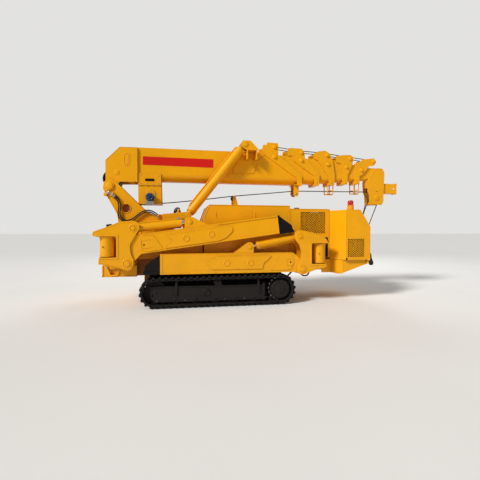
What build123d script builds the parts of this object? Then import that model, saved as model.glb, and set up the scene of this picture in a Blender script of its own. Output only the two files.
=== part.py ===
from build123d import *
import math
import os

os.makedirs("parts", exist_ok=True)

# ---------------------------------------------------------------- driving dimensions (mm)
# +X runs from the turret end to the engine end, +Z up, ground at Z = 0, Y = 0 is the mid plane.
HALF_LENGTH = 2096

# running gear
TRACK_IN, TRACK_OUT = 400, 655
IDLER_X, IDLER_Z, IDLER_R = -1418, 184, 184
SPROCKET_X, SPROCKET_Z, SPROCKET_R = 108, 190, 190
BELT = 26
LUG = 18
LUG_COUNT = 58

# slewing axis and boom foot
SLEW_X = -1517
FOOT_X, FOOT_Z = -1990, 1480
LUFF_T = (-275, 2065)
LUFF_B = (-1026, 1112)
HOSE_Y = -201
HOSE_R = 8
LUFF_Y = 206
EYE_IN, EYE_OUT = 180, 232
EAR_A, EAR_B, EAR_C, EAR_D = 150, 172, 240, 258

# boom sections: width, bottom, top, bottom corner radius, tail
WALL = 5
SECTIONS = [
    (240, 1566, 1988, 90, -1760),
    (215, 1585, 1963, 80, -1640),
    (190, 1604, 1935, 70, -1610),
    (165, 1623, 1905, 60, -1580),
    (140, 1642, 1878, 50, -1550),
    (115, 1660, 1843, 40, -1520),
]

# outriggers
ARM_Y = 560
BEAM_HALF = 72
KN_IN, KN_OUT, KN_T = 468, 652, 15
FRONT_X, REAR_X = -1956, 640
FRONT_LOW, FRONT_UP, FRONT_EAR = (-1726, 536), (-1658, 943), (-1011, 1019)
REAR_LOW, REAR_UP, REAR_EAR = (385, 434), (348, 846), (-287, 717)

# bodywork
BODY_HALF = 400
HOOD_HALF = 625
SHEET = 4
DECK_Z = 562


# ---------------------------------------------------------------- small helpers
def slab(points, y0, y1, mode=Mode.ADD):
    # plate with a side-view outline between two widths
    lo, hi = min(y0, y1), max(y0, y1)
    with BuildSketch(Plane.XZ.offset(-hi), mode=Mode.PRIVATE) as sk:
        with BuildLine(mode=Mode.PRIVATE) as ln:
            Polyline(*points, close=True)
        make_face(ln.edges())
    extrude(sk.sketch, amount=hi - lo, mode=mode)


def block(x0, x1, y0, y1, z0, z1, mode=Mode.ADD):
    with Locations(((x0 + x1) / 2, (y0 + y1) / 2, (z0 + z1) / 2)):
        Box(abs(x1 - x0), abs(y1 - y0), abs(z1 - z0), mode=mode)


def rod_y(x, z, r, y0, y1, mode=Mode.ADD):
    with Locations(Location((x, (y0 + y1) / 2, z), (90, 0, 0))):
        Cylinder(r, abs(y1 - y0), mode=mode)


def rod_z(x, y, r, z0, z1, mode=Mode.ADD):
    with Locations((x, y, (z0 + z1) / 2)):
        Cylinder(r, z1 - z0, mode=mode)


def rod_between(p, q, y, r, mode=Mode.ADD):
    # round bar between two side-view points at one width
    a = Vector(p[0], y, p[1])
    d = Vector(q[0] - p[0], 0, q[1] - p[1])
    with BuildSketch(Plane(origin=a, x_dir=(0, 1, 0), z_dir=d), mode=Mode.PRIVATE) as sk:
        Circle(r)
    extrude(sk.sketch, amount=d.length, mode=mode)


def along(p, q, dist):
    l = math.hypot(q[0] - p[0], q[1] - p[1])
    return (p[0] + (q[0] - p[0]) * dist / l, p[1] + (q[1] - p[1]) * dist / l)


def span(p, q):
    return math.hypot(q[0] - p[0], q[1] - p[1])


def plan(points, z0, z1, mode=Mode.ADD):
    # prism with a plan-view outline
    with BuildSketch(Plane.XY.offset(z0), mode=Mode.PRIVATE) as sk:
        with BuildLine(mode=Mode.PRIVATE) as ln:
            Polyline(*points, close=True)
        make_face(ln.edges())
    extrude(sk.sketch, amount=z1 - z0, mode=mode)


def tube(x0, x1, width, z0, z1, rad, wall):
    # hollow boom section with a flat top and a rounded belly
    for inset, mode in ((0, Mode.ADD), (wall, Mode.SUBTRACT)):
        w, h, r = width - 2 * inset, z1 - z0 - 2 * inset, rad - inset
        with BuildSketch(Plane.YZ.offset(x0), mode=Mode.PRIVATE) as sk:
            with Locations((0, (z0 + z1) / 2)):
                RectangleRounded(w, h, r)
            with Locations((0, (z0 + z1) / 2 + r / 2)):
                Rectangle(w, h - r)
        extrude(sk.sketch, amount=x1 - x0, mode=mode)


def arc_points(cx, cz, r, a0, a1, n):
    return [(cx + r * math.cos(math.radians(a0 + (a1 - a0) * i / n)),
             cz + r * math.sin(math.radians(a0 + (a1 - a0) * i / n))) for i in range(n + 1)]


def mirror_y(s, a, b):
    return (a, b) if s > 0 else (-b, -a)


# ---------------------------------------------------------------- running gear
def loop_outline(inset, lugs):
    # stadium around idler and sprocket; lugs stand on the outer line
    ri, rs = IDLER_R - inset, SPROCKET_R - inset
    dx, dz = SPROCKET_X - IDLER_X, SPROCKET_Z - IDLER_Z
    length = math.hypot(dx, dz)
    base = math.atan2(dz, dx)
    tilt = math.asin((rs - ri) / length)
    top = base + math.pi / 2 + tilt
    bottom = base - math.pi / 2 - tilt
    run = math.sqrt(length ** 2 - (rs - ri) ** 2)
    arc_s = rs * (top - bottom)
    arc_i = ri * (2 * math.pi - (top - bottom))
    total = 2 * run + arc_s + arc_i

    def at(t):
        t = t % total
        if t < run:  # bottom run, idler to sprocket
            f = t / run
            nx, nz = math.cos(bottom), math.sin(bottom)
            x = IDLER_X + ri * nx + f * (dx + (rs - ri) * nx)
            z = IDLER_Z + ri * nz + f * (dz + (rs - ri) * nz)
            return x, z, nx, nz
        t -= run
        if t < arc_s:
            a = bottom + t / rs
            return (SPROCKET_X + rs * math.cos(a), SPROCKET_Z + rs * math.sin(a), math.cos(a), math.sin(a))
        t -= arc_s
        if t < run:
            f = t / run
            nx, nz = math.cos(top), math.sin(top)
            x = SPROCKET_X + rs * nx + f * (-dx + (ri - rs) * nx)
            z = SPROCKET_Z + rs * nz + f * (-dz + (ri - rs) * nz)
            return x, z, nx, nz
        t -= run
        a = top + t / ri
        return (IDLER_X + ri * math.cos(a), IDLER_Z + ri * math.sin(a), math.cos(a), math.sin(a))

    pts = []
    if lugs:
        pitch = total / LUG_COUNT
        for i in range(LUG_COUNT):
            t0 = i * pitch
            for frac, out in ((0.02, 0), (0.10, 1), (0.46, 1), (0.54, 0), (0.77, 0)):
                x, z, nx, nz = at(t0 + frac * pitch)
                pts.append((x - nx * LUG * (1 - out), z - nz * LUG * (1 - out)))
    else:
        n = 120
        for i in range(n):
            x, z, nx, nz = at(i * total / n)
            pts.append((x, z))
    return pts


with BuildPart() as tracks:
    for s in (-1, 1):
        slab(loop_outline(0, True), s * TRACK_IN, s * TRACK_OUT)
        slab(loop_outline(LUG + BELT, False), s * TRACK_IN, s * TRACK_OUT, Mode.SUBTRACT)
tracks.part.label = "tracks"
export_step(tracks.part, "parts/tracks.step")

with BuildPart() as track_frames:
    for s in (-1, 1):
        side = [(-1478, 139), (-1432, 70), (-96, 66), (-96, 250), (-1478, 258)]
        slab(side, s * 590, s * 604)
        slab([(-1270, 178), (-96, 178), (-96, 250), (-1270, 256)], s * 466, s * 590)
        slab([(-1478, 139), (-1432, 70), (160, 66), (230, 150), (230, 230), (160, 262), (-1478, 262)], s * 452, s * 466)
        rod_y(SPROCKET_X, SPROCKET_Z, 94, s * 440, s * 480, Mode.SUBTRACT)
        rod_y(IDLER_X, IDLER_Z, 26, s * 440, s * 620, Mode.SUBTRACT)
track_frames.part.label = "track_frames"
export_step(track_frames.part, "parts/track_frames.step")

with BuildPart() as sprockets:
    for s in (-1, 1):
        rod_y(SPROCKET_X, SPROCKET_Z, 136, s * 488, s * 566)
        rod_y(SPROCKET_X, SPROCKET_Z, 114, s * 566, s * 612)
        rod_y(SPROCKET_X, SPROCKET_Z, 90, s * 385, s * 488)
sprockets.part.label = "sprockets"
export_step(sprockets.part, "parts/sprockets.step")

with BuildPart() as track_rollers:
    for s in (-1, 1):
        rod_y(IDLER_X, IDLER_Z, 132, s * 488, s * 566)
        rod_y(IDLER_X, IDLER_Z, 24, s * 454, s * 602)
        for x in (-1190, -950, -710, -470, -230):
            rod_y(x, 98, 50, s * 470, s * 586)
        rod_y(-700, 284, 24, s * 480, s * 574)
track_rollers.part.label = "track_rollers"
export_step(track_rollers.part, "parts/track_rollers.step")

# ---------------------------------------------------------------- chassis
with BuildPart() as main_frame:
    block(-1560, 200, -350, 350, 230, 560)
    block(-1640, -1560, -350, 350, 364, 560)
    block(200, 884, -350, 350, 392, 560)
    block(-1150, -1030, -451, 451, 150, 255)
    block(-420, -300, -451, 451, 150, 255)
    block(-1540, 180, -330, 330, 250, 540, Mode.SUBTRACT)
    block(-1560, 864, -330, 330, 412, 540, Mode.SUBTRACT)
main_frame.part.label = "main_frame"
export_step(main_frame.part, "parts/main_frame.step")

with BuildPart() as front_bearer:
    block(-2036, -1641, -450, 450, 364, 500)
    block(-2036, -1641, -384, 384, 499, 558)
    block(-2030, -1851, -384, 384, 557, 840)
    block(-2020, -1657, -430, 430, 380, 484, Mode.SUBTRACT)
    block(-2014, -1867, -368, 368, 470, 824, Mode.SUBTRACT)
    for s in (-1, 1):
        block(-2011, -1901, s * 380, s * 540, 640, 820)
        rod_z(FRONT_X, s * ARM_Y, 78, 616, 846)
        rod_z(FRONT_X, s * ARM_Y, 36, 600, 860, Mode.SUBTRACT)
        block(-1938, -1864, s * 420, s * 460, 394, 456, Mode.SUBTRACT)
front_bearer.part.label = "front_bearer"
export_step(front_bearer.part, "parts/front_bearer.step")

with BuildPart() as pedestal:
    rod_z(SLEW_X, 0, 330, 561, 940)
    block(-1790, -840, -340, 340, 561, 700)
    block(-1250, -840, -340, 340, 561, 800)
    block(-1774, -856, -324, 324, 550, 684, Mode.SUBTRACT)
    block(-1234, -856, -324, 324, 550, 784, Mode.SUBTRACT)
    rod_z(SLEW_X, 0, 306, 545, 924, Mode.SUBTRACT)
pedestal.part.label = "pedestal"
export_step(pedestal.part, "parts/pedestal.step")

with BuildPart() as rear_bearers:
    for s in (-1, 1):
        block(540, 740, s * 270, s * 392, 561, 740)
        block(585, 695, s * 385, s * 540, 530, 720)
        rod_z(REAR_X, s * ARM_Y, 78, 506, 748)
        rod_z(REAR_X, s * ARM_Y, 36, 490, 760, Mode.SUBTRACT)
rear_bearers.part.label = "rear_bearers"
export_step(rear_bearers.part, "parts/rear_bearers.step")

with BuildPart() as slew_ring:
    rod_z(SLEW_X, 0, 290, 941, 976)
    rod_z(SLEW_X, 0, 205, 930, 990, Mode.SUBTRACT)
slew_ring.part.label = "slew_ring"
export_step(slew_ring.part, "parts/slew_ring.step")

CAB = [(-826, DECK_Z), (-826, 1072), (-762, 1243), (300, 1243), (300, DECK_Z)]
CAB_IN = [(-822, DECK_Z - 10), (-822, 1071), (-759, 1239), (296, 1239), (296, DECK_Z - 10)]
with BuildPart() as cabinet:
    slab(CAB, -BODY_HALF, BODY_HALF)
    slab(CAB_IN, -BODY_HALF + SHEET, BODY_HALF - SHEET, Mode.SUBTRACT)
cabinet.part.label = "cabinet"
export_step(cabinet.part, "parts/cabinet.step")

with BuildPart() as engine_cowl:
    block(303, 857, -BODY_HALF, BODY_HALF, DECK_Z, 1207)
    block(290, 870, -BODY_HALF + SHEET, BODY_HALF - SHEET, DECK_Z - 10, 1203, Mode.SUBTRACT)
    for s in (-1, 1):
        block(448, 788, s * 380, s * 420, 885, 1165, Mode.SUBTRACT)
        block(572, 708, s * 380, s * 420, 550, 734, Mode.SUBTRACT)
engine_cowl.part.label = "engine_cowl"
export_step(engine_cowl.part, "parts/engine_cowl.step")

HOOD_PLAN = [(860, -400), (984, -HOOD_HALF), (1322, -HOOD_HALF), (1322, HOOD_HALF), (984, HOOD_HALF), (860, 400)]
HOOD_PLAN_IN = [(850, -391.7), (860, -391.7), (986.5, -621), (1318, -621), (1318, 621), (986.5, 621), (860, 391.7), (850, 391.7)]
with BuildPart() as engine_hood:
    plan(HOOD_PLAN, 538, 1187)
    plan(HOOD_PLAN_IN, 530, 1183, Mode.SUBTRACT)
    slab([(1178, 1187), (1322, 965), (1322, 955), (1150, 1180)], -HOOD_HALF + 1, HOOD_HALF - 1)
    slab([(1180, 1188), (1330, 957), (1400, 957), (1400, 1300), (1180, 1300)], -700, 700, Mode.SUBTRACT)
    for s in (-1, 1):
        block(1008, 1232, s * 600, s * 640, 580, 810, Mode.SUBTRACT)
engine_hood.part.label = "engine_hood"
export_step(engine_hood.part, "parts/engine_hood.step")

with BuildPart() as hood_skirt:
    plan([(745, -400), (868, -400), (955, -580), (1316, -580), (1316, 580), (955, 580), (868, 400), (745, 400)], 350, 534)
    plan([(735, -394), (872, -394), (959, -574), (1310, -574), (1310, 574), (959, 574), (872, 394), (735, 394)], 340, 540, Mode.SUBTRACT)
    slab([(890, 358), (940, 358), (1312, 484), (1312, 494), (937, 367), (890, 367)], -576, 576)
    slab([(700, 330), (700, 358), (940, 358), (1330, 490), (1330, 330)], -700, 700, Mode.SUBTRACT)
    slab([(1316, 340), (1316, 600), (1400, 600), (1400, 340)], -700, 700, Mode.SUBTRACT)
hood_skirt.part.label = "hood_skirt"
export_step(hood_skirt.part, "parts/hood_skirt.step")

with BuildPart() as grilles:
    for s in (-1, 1):
        block(450, 786, s * 391, s * 395, 887, 1163)
        block(1010, 1230, s * 616, s * 620, 582, 808)
grilles.part.label = "grilles"
export_step(grilles.part, "parts/grilles.step")

with BuildPart() as engine_block:
    block(480, 1080, -210, 210, 575, 960)
engine_block.part.label = "engine_block"
export_step(engine_block.part, "parts/engine_block.step")

with BuildPart() as beacon:
    rod_z(1106, -500, 44, 1188, 1250)
    rod_z(1106, -500, 38, 1250, 1322)
    fillet(beacon.edges().sort_by(Axis.Z)[-1], 14)
beacon.part.label = "beacon"
export_step(beacon.part, "parts/beacon.step")

with BuildPart() as rope_roller_stand:
    block(-410, -322, -90, 90, 1244, 1254)
    for s in (-1, 1):
        slab([(-402, 1252), (-332, 1252), (-370, 1398), (-408, 1398)], s * 62, s * 74)
    rod_y(-390, 1368, 20, -64, 64)
rope_roller_stand.part.label = "rope_roller_stand"
export_step(rope_roller_stand.part, "parts/rope_roller_stand.step")

with BuildPart() as lashing_hoops:
    for s in (-1, 1):
        with BuildLine(Plane.XZ.offset(-s * 459), mode=Mode.PRIVATE) as ln:
            FilletPolyline((-1976, 474), (-1940, 382), (-1862, 382), (-1826, 474), radius=24)
        path = ln.wires()[0]
        with BuildSketch(Plane(origin=path @ 0, z_dir=path % 0), mode=Mode.PRIVATE) as sk:
            Circle(8)
        sweep(sk.sketch, path=path)
        block(-1986, -1966, s * 451, s * 467, 464, 486)
        block(-1836, -1816, s * 451, s * 467, 464, 486)
lashing_hoops.part.label = "lashing_hoops"
export_step(lashing_hoops.part, "parts/lashing_hoops.step")

with BuildPart() as hood_latches:
    for s in (-1, 1):
        block(1323, 1350, s * 584, s * 620, 545, 625)
        block(1323, 1344, s * 590, s * 614, 492, 545)
hood_latches.part.label = "hood_latches"
export_step(hood_latches.part, "parts/hood_latches.step")

# ---------------------------------------------------------------- turret
POST = [(-2074, 1452), (-2060, 1530), (-2025, 1562), (-1990, 1568), (-1925, 1538), (-1551, 1164), (-1470, 1130),
        (-1402, 1072), (-1402, 1012), (-1890, 1012), (-1906, 1127), (-2053, 1401)]
ARM = [(-1460, 1012), (-1255, 1012), (-1150, 1064), (-1046, 1064), (-998, 1072), (-980, 1098), (-980, 1128),
       (-998, 1152), (-1036, 1160), (-1200, 1142), (-1460, 1120)]
ARM_OUT = [(-1340, 1030), (-1255, 1012), (-1150, 1064), (-1046, 1064), (-998, 1072), (-980, 1098), (-980, 1128),
           (-998, 1152), (-1036, 1160), (-1200, 1142), (-1340, 1130)]
with BuildPart() as turret:
    rod_z(SLEW_X, 0, 296, 982, 1012)
    block(-1900, -1400, -186, 186, 1000, 1022)
    for s in (-1, 1):
        slab(POST, s * EAR_A, s * EAR_B)
        slab(ARM, s * EAR_A, s * EAR_B)
        slab(ARM_OUT, s * EAR_C, s * EAR_D)
        slab([(-1340, 1030), (-1255, 1015), (-1255, 1128), (-1340, 1128)], s * EAR_A, s * EAR_D)
        rod_y(LUFF_B[0], LUFF_B[1], 34, s * EAR_D, s * 268)
        rod_y(FOOT_X, FOOT_Z, 38, s * 112, s * 186)
        rod_y(FOOT_X, FOOT_Z, 56, s * EAR_B, s * 180)
        rod_y(-1794, 1202, 50, s * 140, s * 190, Mode.SUBTRACT)
    slab([(-2040, 1385), (-1898, 1120), (-1882, 1126), (-2024, 1391)], -EAR_A, EAR_A)
    slab([(-1898, 1126), (-1890, 1012), (-1874, 1012), (-1882, 1126)], -EAR_A, EAR_A)
    slab([(-1402, 1020), (-1402, 1070), (-1460, 1118), (-1475, 1110), (-1418, 1062), (-1418, 1020)], -EAR_A, EAR_A)
    slab([(-1936.7, 1392.5), (-1972.0, 1344.0), (-1982.2, 1351.4), (-1946.9, 1399.9)], -214, -EAR_B + 1)
    slab([(-1386.7, 1131.9), (-1424.7, 1085.6), (-1415.0, 1077.6), (-1376.9, 1123.9)], -214, -EAR_B + 1)
turret.part.label = "turret"
export_step(turret.part, "parts/turret.step")

HOSE_LOW = [(-1960.5, 1359.1), (-1917.9, 1328.4), (-1890, 1286.5), (-1877.9, 1239.9), (-1880.9, 1195.4), (-1890, 1150.7),
            (-1886.5, 1099.7), (-1858.7, 1054.2), (-1813.2, 1027.5), (-1760.3, 1024.1), (-1710.7, 1043.4), (-1665.2, 1076.4),
            (-1624.3, 1111.3), (-1582.9, 1140.3), (-1538.4, 1157.1), (-1493, 1153.4), (-1451, 1131.8), (-1413, 1100.5)]
HOSE_UP = [(-1947.5, 1376.9), (-1902.1, 1343.6), (-1870, 1295.5), (-1856.1, 1242.1), (-1859.1, 1192.6), (-1868, 1149.3),
           (-1865.5, 1106.3), (-1843.3, 1069.8), (-1806.8, 1048.5), (-1763.7, 1045.9), (-1721.3, 1062.6), (-1678.8, 1093.6),
           (-1637.7, 1128.7), (-1593.1, 1159.7), (-1541.6, 1178.9), (-1487, 1174.6), (-1439, 1150.2), (-1399, 1117.5)]


def bend_radii(route):
    # the largest tangent arc that each corner's two runs leave room for
    radii = []
    for a, b, c in zip(route, route[1:], route[2:]):
        u, v = Vector(b[0] - a[0], b[1] - a[1]), Vector(c[0] - b[0], c[1] - b[1])
        radii.append(0.45 * min(u.length, v.length) / math.tan(math.radians(u.get_angle(v)) / 2))
    return radii


def hose(route):
    # one round tube along straight runs joined by tangent arcs
    with BuildLine(Plane((0, HOSE_Y, 0), x_dir=(1, 0, 0), z_dir=(0, -1, 0)), mode=Mode.PRIVATE) as ln:
        FilletPolyline(*route, radius=bend_radii(route))
    path = ln.wires()[0]
    with BuildSketch(Plane(origin=path @ 0, z_dir=path % 0), mode=Mode.PRIVATE) as sk:
        Circle(HOSE_R)
    sweep(sk.sketch, path=path)
    print("hose radii", round(min(bend_radii(route)), 1), "length", round(path.length, 1),
          "volume", round(math.pi * HOSE_R ** 2 * path.length))


with BuildPart() as lower_hose:
    hose(HOSE_LOW)
lower_hose.part.label = "lower_hose"
export_step(lower_hose.part, "parts/lower_hose.step")

with BuildPart() as upper_hose:
    hose(HOSE_UP)
upper_hose.part.label = "upper_hose"
export_step(upper_hose.part, "parts/upper_hose.step")

# ---------------------------------------------------------------- boom
C1 = [(-7, 2002), (4, 2093), (59, 2096), (62, 2129), (217, 2123), (221, 1969), (262, 1933), (563, 1695), (564, 1546),
      (497, 1551), (484, 1655), (34, 1954)]
C2 = [(360, 2063), (421, 2072), (566, 2066), (606, 2011), (613, 1937), (653, 1913), (833, 1718), (828, 1560), (761, 1556),
      (746, 1692), (422, 1910), (419, 1967), (360, 1965)]
C3 = [(751, 2011), (814, 2042), (921, 2060), (992, 2017), (1015, 1975), (1040, 1910), (1070, 1726), (1065, 1571),
      (982, 1571), (977, 1679), (812, 1915), (752, 1940)]
C4 = [(1095, 1992), (1162, 2005), (1312, 2017), (1365, 1986), (1349, 1880), (1278, 1734), (1273, 1590), (1195, 1588),
      (1194, 1699), (1163, 1890), (1095, 1900)]
C5 = [(1403, 1877), (1521, 1961), (1692, 1985), (1735, 1937), (1700, 1877), (1621, 1867), (1544, 1766), (1469, 1713),
      (1470, 1600), (1389, 1600), (1388, 1716)]
HEAD = [(1735, 1841), (1839, 1844), (1878, 1779), (1867, 1448), (1864, 1348), (1839, 1305), (1642, 1302), (1634, 1443),
        (1613, 1496), (1600, 1640), (1631, 1713)]
ROOT = [(-1872, 1981), (-1659, 1981), (-1659, 1545), (-1880, 1540), (-1918, 1440), (-1960, 1414), (-2010, 1414),
        (-2046, 1450), (-2046, 1807)]
# front ends of sections 1 to 5: everything ahead of these lines is cut away
FRONTS = [
    [(221, 2300), (221, 1969), (262, 1933), (563, 1695), (563, 1300), (2600, 1300), (2600, 2300)],
    [(613, 2300), (613, 1937), (653, 1913), (833, 1718), (828, 1300), (2600, 1300), (2600, 2300)],
    [(1015, 2300), (1015, 1975), (1040, 1910), (1070, 1726), (1065, 1300), (2600, 1300), (2600, 2300)],
    [(1352, 2300), (1349, 1880), (1278, 1734), (1273, 1300), (2600, 1300), (2600, 2300)],
    [(1621, 2300), (1621, 1867), (1544, 1766), (1469, 1713), (1470, 1300), (2600, 1300), (2600, 2300)],
]
COLLARS = [C1, C2, C3, C4, C5]
# bridge over the tube and strap below it, per collar: x0, x1 over, height, x0, x1 under, bottom
STRAPS = [(72, 208, 60, 499, 562, 1548), (430, 560, 50, 763, 826, 1560), (820, 985, 50, 984, 1063, 1574),
          (1168, 1345, 45, 1197, 1271, 1592), (1500, 1610, 45, 1391, 1468, 1603)]
EAR = [(-336, 2059), (-303, 2106), (-201, 2111), (-92, 2003), (-103, 1984), (-248, 1985), (-330, 2030)]
COLLAR_T = 14


def collar(i):
    half = SECTIONS[i][0] / 2
    for s in (-1, 1):
        slab(COLLARS[i], s * half, s * (half + COLLAR_T))
    x0, x1, h, u0, u1, zb = STRAPS[i]
    z0, z1 = SECTIONS[i][1], SECTIONS[i][2]
    block(x0, x1, -half - 2, half + 2, z1 - 2, z1 + h)
    block(u0, u1, -half - 2, half + 2, zb, z0 + 3)


with BuildPart() as boom_base:
    w, z0, z1, rad, tail = SECTIONS[0]
    tube(tail, 900, w, z0, z1, rad, WALL)
    slab(FRONTS[0], -300, 300, Mode.SUBTRACT)
    for s in (-1, 1):
        slab(ROOT, s * 120, s * 144)
        slab(EAR, s * EAR_A, s * EAR_B)
        slab(EAR, s * EAR_C, s * EAR_D)
        block(-246, -232, s * 119, s * 256, 1866, 1992)
        block(-118, -104, s * 119, s * 256, 1866, 1992)
        slab([(-439, 1980), (-65, 1866), (-128, 1703), (-426, 1692), (-370, 1820)], s * 119, s * 126)
        rod_y(LUFF_T[0], LUFF_T[1], 30, s * EAR_A, s * 266)
    block(-246, -104, -258, 258, 1986, 2006)
    slab([(-2046, 1807), (-1872, 1981), (-1872, 1965), (-2034, 1802)], -122, 122)
    collar(0)
    for s in (-1, 1):
        rod_y(FOOT_X, FOOT_Z, 40, s * 100, s * 148, Mode.SUBTRACT)
boom_base.part.label = "boom_base"
export_step(boom_base.part, "parts/boom_base.step")

with BuildPart() as boom_section_2:
    w, z0, z1, rad, tail = SECTIONS[1]
    tube(tail, 1200, w, z0, z1, rad, WALL)
    slab(FRONTS[1], -300, 300, Mode.SUBTRACT)
    collar(1)
boom_section_2.part.label = "boom_section_2"
export_step(boom_section_2.part, "parts/boom_section_2.step")

with BuildPart() as boom_section_3:
    w, z0, z1, rad, tail = SECTIONS[2]
    tube(tail, 1400, w, z0, z1, rad, WALL)
    slab(FRONTS[2], -300, 300, Mode.SUBTRACT)
    collar(2)
boom_section_3.part.label = "boom_section_3"
export_step(boom_section_3.part, "parts/boom_section_3.step")

with BuildPart() as boom_section_4:
    w, z0, z1, rad, tail = SECTIONS[3]
    tube(tail, 1500, w, z0, z1, rad, WALL)
    slab(FRONTS[3], -300, 300, Mode.SUBTRACT)
    collar(3)
boom_section_4.part.label = "boom_section_4"
export_step(boom_section_4.part, "parts/boom_section_4.step")

with BuildPart() as boom_section_5:
    w, z0, z1, rad, tail = SECTIONS[4]
    tube(tail, 1700, w, z0, z1, rad, WALL)
    slab(FRONTS[4], -300, 300, Mode.SUBTRACT)
    collar(4)
boom_section_5.part.label = "boom_section_5"
export_step(boom_section_5.part, "parts/boom_section_5.step")

with BuildPart() as boom_section_6:
    w, z0, z1, rad, tail = SECTIONS[5]
    tube(tail, 1740, w, z0, z1, rad, WALL)
    for s in (-1, 1):
        slab(HEAD, s * w / 2, s * (w / 2 + 13))
    slab([(1600, 1662), (1609, 1548), (1621, 1548), (1614, 1662)], -w / 2, w / 2)
    block(1728, 1740, -w / 2, w / 2, 1640, 1842)
    for s in (-1, 1):
        rod_y(1754, 1406, 27, s * 50, s * 80, Mode.SUBTRACT)
boom_section_6.part.label = "boom_section_6"
export_step(boom_section_6.part, "parts/boom_section_6.step")

with BuildPart() as head_sheave:
    rod_y(1754, 1406, 92, -36, 36)
    rod_y(1754, 1406, 25, -80, 80)
head_sheave.part.label = "head_sheave"
export_step(head_sheave.part, "parts/head_sheave.step")

with BuildPart() as jib_stub:
    block(1846, HALF_LENGTH, -44, 44, 1476, 1622)
    block(1836, HALF_LENGTH + 10, -36, 36, 1484, 1614, Mode.SUBTRACT)
    for x, z in ((1857, 1500), (1857, 1598)):
        rod_y(x, z, 9, -57, -40)
        rod_y(x, z, 9, 40, 57)
    rod_y(2050, 1549, 16, -60, 60, Mode.SUBTRACT)
jib_stub.part.label = "jib_stub"
export_step(jib_stub.part, "parts/jib_stub.step")

with BuildPart() as winch_frame:
    for s in (-1, 1):
        slab([(-1653, 1657), (-1364, 1660), (-1360, 1515), (-1353, 1262), (-1648, 1262)], s * 121, s * 131)
        block(-1570, -1444, s * 115, s * 140, 1566, 1586, Mode.SUBTRACT)
    block(-1645, -1355, -122, 122, 1262, 1274)
    block(-1645, -1630, -122, 122, 1270, 1500)
winch_frame.part.label = "winch_frame"
export_step(winch_frame.part, "parts/winch_frame.step")

with BuildPart() as winch_drum:
    rod_y(-1490, 1400, 70, -112, 112)
    for s in (-1, 1):
        rod_y(-1490, 1400, 112, s * 100, s * 112)
winch_drum.part.label = "winch_drum"
export_step(winch_drum.part, "parts/winch_drum.step")

with BuildPart() as winch_motor:
    rod_y(-1502, 1348, 50, -215, -132)
    block(-1556, -1446, -196, -132, 1250, 1296)
winch_motor.part.label = "winch_motor"
export_step(winch_motor.part, "parts/winch_motor.step")

with BuildPart() as hose_sheave:
    rod_y(-1980, 1583, 112, -42, 42)
    rod_y(-1980, 1583, 96, -28, 28, Mode.SUBTRACT)
    rod_y(-1980, 1583, 96, -10, 10)
    rod_y(-1980, 1583, 16, -119, 119)
hose_sheave.part.label = "hose_sheave"
export_step(hose_sheave.part, "parts/hose_sheave.step")

# luff cylinders: barrel on the boom, one middle stage, rod eye in the turret arms
LUFF_L = span(LUFF_T, LUFF_B)
with BuildPart() as luff_barrels:
    for s in (-1, 1):
        y = s * LUFF_Y
        rod_between(along(LUFF_T, LUFF_B, 88), along(LUFF_T, LUFF_B, LUFF_L - 80), y, 57)
        rod_between(along(LUFF_T, LUFF_B, 36), along(LUFF_T, LUFF_B, 92), y, 25)
        rod_y(LUFF_T[0], LUFF_T[1], 46, s * EYE_IN, s * EYE_OUT)
        rod_between(along(LUFF_T, LUFF_B, 104), along(LUFF_T, LUFF_B, LUFF_L), y, 46, Mode.SUBTRACT)
        rod_y(LUFF_T[0], LUFF_T[1], 32, s * 120, s * 290, Mode.SUBTRACT)
luff_barrels.part.label = "luff_barrels"
export_step(luff_barrels.part, "parts/luff_barrels.step")

with BuildPart() as luff_stages:
    for s in (-1, 1):
        y = s * LUFF_Y
        rod_between(along(LUFF_T, LUFF_B, 112), along(LUFF_T, LUFF_B, LUFF_L - 66), y, 44)
        rod_between(along(LUFF_T, LUFF_B, 122), along(LUFF_T, LUFF_B, LUFF_L), y, 31, Mode.SUBTRACT)
luff_stages.part.label = "luff_stages"
export_step(luff_stages.part, "parts/luff_stages.step")

with BuildPart() as luff_rods:
    for s in (-1, 1):
        y = s * LUFF_Y
        rod_between(along(LUFF_T, LUFF_B, 132), along(LUFF_T, LUFF_B, LUFF_L - 30), y, 25)
        rod_y(LUFF_B[0], LUFF_B[1], 44, s * EYE_IN, s * EYE_OUT)
        rod_y(LUFF_B[0], LUFF_B[1], 24, s * 150, s * 260, Mode.SUBTRACT)
luff_rods.part.label = "luff_rods"
export_step(luff_rods.part, "parts/luff_rods.step")

# ---------------------------------------------------------------- hook
HOOK_X, HOOK_Z = 1568, 930
with BuildPart() as hook_block:
    for s in (-1, 1):
        slab(arc_points(HOOK_X, HOOK_Z, 92, -20, 200, 16) + [(HOOK_X - 62, 815), (HOOK_X + 62, 815)], s * 30, s * 44)
    rod_y(HOOK_X, HOOK_Z, 78, -24, 24)
    rod_y(HOOK_X, HOOK_Z, 20, -50, 50)
    block(HOOK_X - 62, HOOK_X + 62, -44, 44, 800, 835)
hook_block.part.label = "hook_block"
export_step(hook_block.part, "parts/hook_block.step")

with BuildPart() as hook:
    rod_z(HOOK_X, 0, 20, 700, 796)
    slab(arc_points(HOOK_X, 650, 82, 95, 375, 28) + arc_points(HOOK_X, 650, 46, 375, 95, 28), -20, 20)
hook.part.label = "hook"
export_step(hook.part, "parts/hook.step")

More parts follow.
